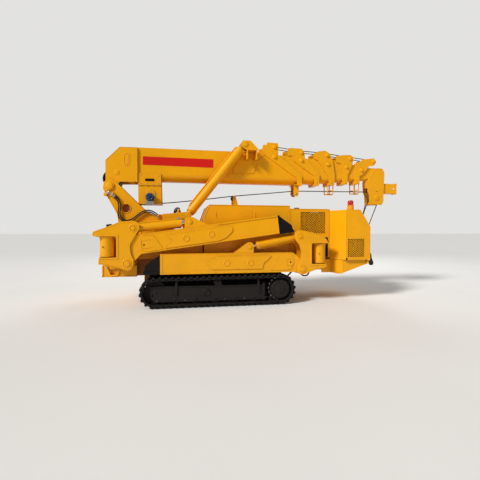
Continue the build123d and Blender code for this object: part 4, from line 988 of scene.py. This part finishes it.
# unions at both ends of the hanging hoses, pipe elbows behind the upper plate
for route in (HOSE_LOW, HOSE_UP):
    for p, q in ((route[0], route[1]), (route[-1], route[-2])):
        p, q = Vector(p) / MM, Vector(q) / MM
        d = (q - p).normalized()
        lathe(tz, tuple(p - d * 0.2), tuple(d), [(0, 12.5), (12, 12.5), (13, 10.5), (16, 10.5), (17, 11.5), (34, 11), (36, 9)], 6)
        lathe(tz, tuple(p - d * 13), tuple(-d), [(0, 12.5), (11, 12.5), (12, 8), (20, 8)], 6)
p0, q0 = Vector(HOSE_LOW[0]) / MM, Vector(HOSE_LOW[1]) / MM
d0 = (q0 - p0).normalized()
for route, dz in ((HOSE_LOW, 0), (HOSE_UP, 4)):
    e = Vector(route[0]) / MM - d0 * 30
    tube_path(bag("turret", STEEL, "soft"), smooth_pts([tuple(e), (e.x - 16, -200, e.z + 9), (e.x - 34, -196, e.z + 8), (e.x - 50, -188, e.z - 4), (e.x - 58, -174, e.z - 14)], 6), 7, 10)
prism(tu, rounded([(-2060, 1352), (-2026, 1346), (-2024, 1384), (-2058, 1390)], 6), -200, -172)
for s in (-1, 1):
    prism(tu, rounded([(-1160, 1144), (-1112, 1150), (-1114, 1186), (-1156, 1186)], 5), s * 150, s * 258)
    for i, x in enumerate((-1148, -1128)):
        lathe(tz, (x, s * (238 - 30 * i), 1186), (0, 0, 1), [(0, 11), (8, 11), (9, 8), (14, 8)], 6)
        tube_path(bag("turret", CAST, "soft"), smooth_pts([(x, s * (238 - 30 * i), 1196), (x - 3, s * (238 - 30 * i), 1206), (x - 14, s * (236 - 30 * i), 1210), (x - 34, s * (228 - 24 * i), 1196), (x - 46, s * (218 - 14 * i), 1172), (x - 50, s * 206, 1140)], 6), 8, 10)
    box(bag("turret", BLACK), -1136, -1118, s * 258, s * 266, 1158, 1176)
# slew drive housing beside the posts, and a rotary hose joint
lathe(bag("turret", CAST, "soft"), (-1660, 0, 1022), (0, 0, 1), [(0, 92), (10, 92), (14, 74), (70, 74), (74, 84), (92, 84), (96, 60), (130, 58), (134, 40)], 40)
lathe(bag("turret", BLUE, "soft"), (-1660, 0, 1150), (0, 0, 1), [(0, 52), (6, 54), (60, 54), (64, 46), (66, 10)], 36)

# ------------------------------------------------------------------ boom base
b1, b1s, b1z = bag("boom_1", YEL), bag("boom_1", YEL, "soft"), bag("boom_1", ZINC)
for s in (-1, 1):
    ax = (0, s, 0)
    # plain red panel
    prism(bag("boom_1", RED), rounded([(-1592, 1878), (-677, 1872), (-680, 1758), (-1592, 1768)], 6), s * 119.5, s * 121.4)
    # long pressed slot, plug and rim on the root plate
    ob_ = arc(-1785, 1870, 34, 0, 180, 10) + arc(-1785, 1783, 34, 180, 360, 10)
    bead(b1s, ob_, s * 144, 4.2, True)
    ob_ = arc(-1785, 1870, 20, 0, 180, 10) + arc(-1785, 1783, 20, 180, 360, 10)
    prism(b1, ob_, s * 143, s * 146)
    lathe(b1s, (-1911, s * 143, 1657), ax, [(0, 34), (4, 33), (6, 27), (6.5, 8)], 32)
    bead(b1s, [(-2044, 1806), (-1873, 1978), (-1661, 1978)], s * 144, 2.4)
    bead(b1s, [(-1659, 1545), (-1659, 1980)], s * 144, 2.6)
    # slot in the winch side plate: near-black inside as painted shade, with a rim
    ob_ = arc(-1462, 1574, 20, -90, 90, 8) + arc(-1548, 1574, 20, 90, 270, 8)
    prism(bag("boom_1", SHADE_DARK), ob_, s * 129.6, s * 131)
    bead(b1s, ob_, s * 130.6, 3.2, True)
    # winch carrier: bolted flange, bolts
    prism(b1, [(-1648, 1504), (-1362, 1504), (-1362, 1522), (-1648, 1522)], s * 130, s * 143)
    for x in (-1620, -1545, -1465, -1390):
        bolt(b1z, (x, s * 137, 1522), (0, 0, 1), 8, 6)
        bolt(b1z, (x, s * 137, 1504), (0, 0, -1), 8, 6)
    for x, z in ((-1620, 1630), (-1395, 1632)):
        bolt(b1, (x, s * 131, z), ax, 8, 6)
    lathe(b1s, (-1490, s * 130, 1400), ax, [(0, 62), (4, 62), (6, 56), (7, 20)], 36)
    for i in range(8):
        t = 2 * math.pi * i / 8
        bolt(b1z, (-1490 + 50 * math.cos(t), s * 136, 1400 + 50 * math.sin(t)), ax, 6, 5, False)
    # luff ear pins, doubler seam and pad screws
    lathe(b1s, (-275, s * 264, 2065), ax, [(0, 40), (3, 39), (5, 30), (5.5, 10)], 36)
    bead(b1s, [(-439, 1980), (-65, 1866), (-128, 1703), (-426, 1692), (-370, 1820)], s * 126, 2.2, True)
    bead(b1s, [(-60, 1880), (20, 1952), (34, 1956)], s * 121, 3.0)
    # wear pad screws along the collar leg
    for x, z in ((166, 2070), (166, 1935)):
        lathe(b1s, (x, s * 133, z), ax, [(0, 32), (4, 31), (7, 28), (17, 25), (20, 20), (20.5, 6)], 36)
    # feed pipe along the +Y flank only
    tube_path(b1s, [(-1650, s * 128, 1640), (-1300, s * 128, 1640), (-500, s * 127, 1640)], 7, 10) if s > 0 else None
for x in (-1300, -1000, -700):
    box(b1z, x - 12, x + 12, 119, 137, 1628, 1652)
# drum rope: one continuous winding
turns = 15
pts = []
for i in range(turns * 28 + 1):
    t = 2 * math.pi * i / 28
    pts.append((-1490 + 77 * math.cos(t), -94 + 188 * i / (turns * 28), 1400 + 77 * math.sin(t)))
tube_path(bag("boom_1", ROPE, "soft"), pts, 6.2, 8)
# motor: ribs, end cap, bolts, port fittings and port block
bl = bag("boom_1", BLUE, "soft")
for d in (8, 22, 36, 50):
    torus(bl, (-1502, -140 - d, 1348), (0, 1, 0), 50, 3.2, 36, 8)
lathe(bl, (-1502, -210, 1348), (0, -1, 0), [(0, 50), (4, 50), (8, 42), (9, 18), (13, 16), (14, 6)], 36)
for i in range(6):
    t = 2 * math.pi * i / 6 + 0.3
    bolt(b1z, (-1502 + 36 * math.cos(t), -218, 1348 + 36 * math.sin(t)), (0, -1, 0), 6, 5, False)
for x in (-1536, -1466):
    lathe(b1z, (x, -196, 1273), (0, -1, 0), [(0, 14), (10, 14), (11, 11), (22, 11), (23, 13), (30, 13)], 6)
box(b1z, -1557.5, -1444.5, -198, -133, 1249, 1297.5)
# hose reel wheel: spokes
for i in range(8):
    t = 2 * math.pi * i / 8
    prism(bag("boom_1", BLACK), [(-1980 + r * math.cos(t) - w * math.sin(t), 1583 + r * math.sin(t) + w * math.cos(t)) for r, w in ((24, -6), (96, -6), (96, 6), (24, 6))], -16, 16)
for y in (-96, -68, -40, -13, 13, 40, 68, 96):
    torus(bag("boom_1", HOSE, "soft"), (-1980, y, 1583), (0, 1, 0), 98, 13, 48, 12)
# rope guide under the first collar
for s in (-1, 1):
    prism(b1, rounded([(464, 1440), (484, 1408), (520, 1406), (540, 1424), (540, 1566), (470, 1566)], 8), s * 60, s * 70)
    pin_head(b1z, (502, s * 70, 1440), (0, s, 0), 12, 7, 20)
    prism(b1, [(466, 1556), (562, 1556), (562, 1568), (466, 1568)], s * 58, s * 128)
lathe(bag("boom_1", STEEL, "soft"), (502, -60, 1440), (0, 1, 0), [(0, 26), (6, 26), (30, 18), (90, 18), (114, 26), (120, 26)], 28)
lathe(bag("boom_1", STEEL, "soft"), (502, -60, 1520), (0, 1, 0), [(0, 12), (120, 12)], 20)

# ------------------------------------------------------------------ boom sections: collar pins, straps, guide hoops
HALF = [120, 107.5, 95, 82.5, 70, 57.5]
PINS = {2: ((559, 2013), (560, 1904)), 3: ((951, 1992), (964, 1863)), 4: ((1312, 1960), (1258, 1837)), 5: ((1690, 1938), (1500, 1804))}
LEGS = {2: (795, 1640), 3: (1024, 1640), 4: (1236, 1650), 5: (1430, 1655)}
for n_, pins in PINS.items():
    body = "boom_%d" % n_
    h = HALF[n_ - 1] + 14
    for s in (-1, 1):
        for x, z in pins:
            lathe(bag(body, YEL, "soft"), (x, s * (h - 1), z), (0, s, 0), [(0, 31), (4, 30), (7, 27), (17, 24), (20, 19), (20.5, 6)], 36)
        bolt(bag(body, YEL), (LEGS[n_][0], s * h, LEGS[n_][1]), (0, s, 0), 8, 6)
        bolt(bag(body, YEL), (LEGS[n_][0], s * h, LEGS[n_][1] - 36), (0, s, 0), 8, 6)
for body, x0, x1, zt, zb in (("boom_3", 984, 1064, 1574, 1446), ("boom_5", 1391, 1468, 1604, 1462)):
    hb = bag(body, YEL, "soft")
    for x in (x0, x1):
        pts = [(x, -60, zt), (x, -60, zb + 30), (x, -52, zb + 10), (x, -30, zb), (x, 30, zb), (x, 52, zb + 10), (x, 60, zb + 30), (x, 60, zt)]
        tube_path(hb, smooth_pts(pts, 5), 7, 10)
    for y in (-44, 44):
        cyl(hb, (x0, y, zb + 4), (x1, y, zb + 4), 6.5, 12)
    for s in (-1, 1):
        cyl(hb, (x0, s * 60, zb + 52), (x1, s * 60, zb + 52), 6.5, 12)
# pulleys of the extension ropes inside the collar heads
for n_, (x, z) in ((1, (140, 2062)), (2, (500, 2020)), (3, (900, 2000)), (4, (1255, 1962))):
    for y in (-60, 60):
        lathe(bag("boom_%d" % n_, CAST, "soft"), (x, y - 12, z), (0, 1, 0), [(0, 34), (3, 34), (10, 26), (14, 26), (21, 34), (24, 34)], 28)

# ------------------------------------------------------------------ boom head
b6, b6s, b6z = bag("boom_6", YEL), bag("boom_6", YEL, "soft"), bag("boom_6", ZINC)
for s in (-1, 1):
    ax = (0, s, 0)
    lathe(b6s, (1754, s * 70, 1406), ax, [(0, 44), (3, 43), (5, 36), (9, 34), (10, 28), (10.5, 8)], 40)
    # near-black disc: painted shade in a small hole on the head plate
    lathe(bag("boom_6", SHADE_DARK, "soft"), (1757, s * 69.8, 1500), ax, [(0, 8), (1.4, 8), (1.6, 6)], 20)
    bead(b6s, [(1737, 1836), (1836, 1838), (1872, 1778), (1862, 1448), (1858, 1352), (1836, 1310), (1648, 1307)], s * 70.5, 3.2)
    for x, z in ((1700, 1760), (1800, 1760)):
        bolt(b6, (x, s * 70.5, z), ax, 7, 5)
    # rim of the jib socket
    prism(b6, [(2070, 1472), (2095, 1472), (2095, 1626), (2070, 1626)], s * 43, s * 49)
    prism(b6, [(1864, 1478), (1878, 1478), (1878, 1620), (1864, 1620)], s * 43, s * 54)
    torus(b6s, (2050, s * 44, 1549), ax, 20, 3.5, 28, 8)
for z0, z1 in ((1470, 1477), (1621, 1628)):
    box(b6, 2070, 2095, -49, 49, z0, z1)
# sheave: grooved rims beside the flat disc
for y in (-26, 26):
    lathe(bag("boom_6", RUST, "soft"), (1754, y - 10, 1406), (0, 1, 0), [(0, 60), (0, 98), (3, 98), (9, 88), (11, 88), (17, 98), (20, 98), (20, 60)], 44)
prism(b6, rounded([(1640, 1300), (1690, 1296), (1690, 1330), (1640, 1340)], 6), -52, 52)

# ------------------------------------------------------------------ luff cylinders
T, B = (-275, 2065), (-1026, 1112)
LL = span(T, B)
nl = offset(T, B, 1)
lb, lbs, lz = bag("luff_barrel", YEL), bag("luff_barrel", YEL, "soft"), bag("luff_barrel", ZINC)
for s in (-1, 1):
    y = s * 206
    d3 = (B[0] - T[0], 0, B[1] - T[1])
    for d0, d1, r in ((88, 104, 60), (LL - 124, LL - 82, 61)):
        p = along(T, B, d0)
        lathe(lbs, (p[0], y, p[1]), d3, [(0, 56), (2, r), (d1 - d0 - 2, r), (d1 - d0, 56)], 40)
    # feed pipe on the upper-left flank with clamps
    k = -1 if nl[0] > 0 else 1
    pipe = []
    for d, o in ((120, 50), (120, 62), (140, 68), (LL * 0.5, 68), (LL - 180, 68), (LL - 150, 62), (LL - 150, 50)):
        p = along(T, B, d)
        pipe.append((p[0] + nl[0] * k * o, y, p[1] + nl[1] * k * o))
    tube_path(lbs, smooth_pts(pipe, 5), 8, 12)
    for d in (300, 560, 820):
        p = along(T, B, d)
        q = (p[0] + nl[0] * k * 66, p[1] + nl[1] * k * 66)
        lathe(lb, (q[0], y, q[1]), d3, [(-1, 13), (15, 13)], 8)
    # painted end ring of the middle stage, painted rod eye
    p = along(T, B, LL - 79)
    lathe(bag("luff_stage", YEL, "soft"), (p[0], y, p[1]), d3, [(0, 44), (0, 54), (10, 54), (14, 50), (14, 40)], 40)
    p = along(T, B, LL - 64)
    lathe(bag("luff_rod", YEL, "soft"), (p[0], y, p[1]), d3, [(0, 26), (0, 36), (22, 42), (30, 42), (30, 26)], 32)
    lathe(bag("luff_rod", YEL, "soft"), (-1026, s * 178.5, 1112), (0, s, 0), [(0, 24), (0, 44), (3, 46.5), (52, 46.5), (55, 44), (55, 24)], 36)
    # port union at the lower end of the barrel
    p = along(T, B, LL - 150)
    c = (p[0] + nl[0] * k * 60, p[1] + nl[1] * k * 60)
    lathe(lz, (c[0], y, c[1]), (nl[0] * k, 0, nl[1] * k), [(-8, 13), (6, 13), (7, 10), (16, 10)], 6)

# ------------------------------------------------------------------ hook block and hook
hk, hks, hz = bag("hook", YEL), bag("hook", YEL, "soft"), bag("hook", ZINC)
for s in (-1, 1):
    lathe(hks, (1568, s * 43, 930), (0, s, 0), [(0, 34), (4, 33), (6, 26), (7, 8)], 32)
    for x, z in ((1524, 840), (1612, 840), (1500, 950), (1636, 950)):
        bolt(hz, (x, s * 44, z), (0, s, 0), 7, 5)
    prism(hk, rounded([(1524, 870), (1612, 870), (1600, 1000), (1568, 1012), (1536, 1000)], 16), s * 43, s * 46)
lathe(bag("hook", CAST, "soft"), (1568, -22, 930), (0, 1, 0), [(0, 40), (0, 84), (6, 84), (18, 70), (26, 70), (38, 84), (44, 84), (44, 40)], 44)
bm_hook = bmesh.new()
lathe(bm_hook, (1568, 0, 724), (0, 0, 1), [(0, 19), (30, 20), (44, 22), (46, 30), (70, 30), (74, 24), (76, 10)], 28)
path, rad = [], []
for i in range(41):
    a = 92 + (372 - 92) * i / 40
    t = math.radians(a)
    path.append((1568 + 64 * math.cos(t), 0, 650 + 64 * math.sin(t)))
    rad.append(17 if a < 120 else (17 + 3 * math.sin(math.radians(a - 120) * 0.9)) if a < 300 else max(7.0, 18 - 11 * (a - 300) / 72))
path = [(1568, 0, 740)] + path
rad = [19] + rad
tube_path(bm_hook, path, 17, 18, radii=rad)
prism(bm_hook, rounded([(1572, 720), (1584, 712), (1636, 664), (1626, 658), (1570, 704)], 3), -8, 8)
lathe(bm_hook, (1577, -14, 712), (0, 1, 0), [(0, 8), (28, 8)], 16)
single("lifting_hook", "hook", CAST, bm_hook, "soft", ("hook",))

# ------------------------------------------------------------------ ropes
R_ROPE = 6.5
# winch to the first guide, over the roller on the cabinet
rp = bag("boom_1", ROPE, "soft")
tube_path(rp, smooth_pts([(-1472, -20, 1324), (-1420, -18, 1300), (-1358, -14, 1283), (-900, -6, 1331), (-390, 0, 1397), (60, 0, 1442), (502, 0, 1487)], 8), R_ROPE, 12)


def stretch_rope(name, pts, r):
    bm = bmesh.new()
    P = [Vector(p) for p in pts]
    fine = []
    for i in range(len(P) - 1):
        for j in range(12):
            fine.append(tuple(P[i].lerp(P[i + 1], j / 12)))
    fine.append(tuple(P[-1]))
    tube_path(bm, fine, r, 12)
    ob = finish_mesh(name, bm, ROPE, "soft")
    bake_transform(ob)
    return ob


XS = [502, 780, 1024, 1240, 1430, 1754]
ZS = [1487, 1490, 1492, 1494, 1496, 1499]
for i in range(5):
    stretch_rope("hoist_rope_%d" % (i + 1), [(XS[i], 0, ZS[i]), (XS[i + 1], 0, ZS[i + 1])], R_ROPE)
ENDS = (((150, 2096), (500, 2054)), ((510, 2054), (900, 2034)), ((905, 2034), (1255, 1996)), ((1260, 1996), (1600, 1962)))
for i, (p, q) in enumerate(ENDS):
    for y in (-60, 60):
        stretch_rope("extension_rope_%d_%s" % (i + 2, "l" if y < 0 else "r"), [(p[0], y, p[1]), (q[0], y, q[1])], 5.5)
# falls to the hook block
hr = bag("hook", ROPE, "soft")
d = Vector((1568 - 1754, 0, 930 - 1406)).normalized()
nrm = Vector((-d.z, 0, d.x))
for sgn, y in ((1, 26), (-1, -26), (-1, 26)):
    a = Vector((1754, y, 1406)) + nrm * sgn * 92
    b = Vector((1568, y * 0.3, 930)) + nrm * sgn * 74
    if sgn < 0 and y > 0:
        a = Vector((1648, 50, 1330))
        b = Vector((1512, 20, 905))
    tube_path(hr, [tuple(a.lerp(b, i / 8)) for i in range(9)], R_ROPE, 12)
pts = []
for i in range(13):
    t = math.pi * i / 12
    c = nrm * math.cos(t) * -74 + d * math.sin(t) * 74
    pts.append((1568 + c.x, 0, 930 + c.z))
tube_path(hr, pts, R_ROPE, 10)
pts = []
for i in range(13):
    t = math.radians(92 - 112 * i / 12)
    pts.append((1754 + 93 * math.cos(t), 26 * i / 12, 1406 + 93 * math.sin(t)))
tube_path(bag("boom_6", ROPE, "soft"), pts, R_ROPE, 10)

# ------------------------------------------------------------------ collected detail becomes pieces
for (body, mat_name, kind), (bm, mat) in sorted(BAGS.items(), key=lambda kv: kv[0]):
    if not bm.faces:
        bm.free()
        continue
    ob = finish_mesh("detail_%s_%s_%s" % (body, mat_name, kind), bm, mat, kind)
    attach(ob, body)

# ------------------------------------------------------------------ floor and light
m, nt, b, vec = start_material("floor_pale")
fl = noise(nt, vec, 0.8, 4.0, 0.5)
link(nt, mix_col(nt, remap(nt, fl, 0.3, 0.7, 0.0, 1.0), (0.925, 0.925, 0.915), (0.95, 0.95, 0.94)), b.inputs["Base Color"])
b.inputs["Roughness"].default_value = 0.75
bm = bmesh.new()
bmesh.ops.create_grid(bm, x_segments=8, y_segments=8, size=160.0)
me = bpy.data.meshes.new("floor")
bm.to_mesh(me)
bm.free()
me.materials.append(m)
floor = bpy.data.objects.new("floor", me)
scene.collection.objects.link(floor)

world = bpy.data.worlds.new("studio")
scene.world = world
world.use_nodes = True
wt = world.node_tree
wt.nodes.clear()
w_out = wt.nodes.new("ShaderNodeOutputWorld")
w_mix = wt.nodes.new("ShaderNodeMixShader")
w_path = wt.nodes.new("ShaderNodeLightPath")
w_soft = wt.nodes.new("ShaderNodeBackground")
w_seen = wt.nodes.new("ShaderNodeBackground")
w_soft.inputs["Color"].default_value = (1.0, 0.985, 0.96, 1.0)
w_soft.inputs["Strength"].default_value = 0.22
w_seen.inputs["Color"].default_value = (0.97, 0.965, 0.945, 1.0)
w_seen.inputs["Strength"].default_value = 0.79
wt.links.new(w_path.outputs["Is Camera Ray"], w_mix.inputs["Fac"])
wt.links.new(w_soft.outputs[0], w_mix.inputs[1])
wt.links.new(w_seen.outputs[0], w_mix.inputs[2])
wt.links.new(w_mix.outputs[0], w_out.inputs["Surface"])


def area(name, loc, target, size, power, col=(1, 1, 1)):
    ld = bpy.data.lights.new(name, "AREA")
    ld.shape = "DISK"
    ld.size = size
    ld.energy = power
    ld.color = col
    o = bpy.data.objects.new(name, ld)
    scene.collection.objects.link(o)
    o.location = loc
    o.rotation_euler = (Vector(target) - Vector(loc)).to_track_quat("-Z", "Y").to_euler()


sun = bpy.data.lights.new("key", "SUN")
sun.energy = 3.15
sun.angle = 0.22
sun.color = (1.0, 0.975, 0.94)
sun_ob = bpy.data.objects.new("key", sun)
scene.collection.objects.link(sun_ob)
sun_ob.rotation_euler = Vector((8.2, 5.4, -6.6)).to_track_quat("-Z", "Y").to_euler()
area("fill", (5.0, -6.5, 3.0), (0.2, 0.0, 0.9), 4.0, 20.0)
area("rim", (2.0, 6.5, 5.5), (0.0, 0.0, 1.0), 4.0, 160.0)
scene.view_settings.view_transform = "Standard"
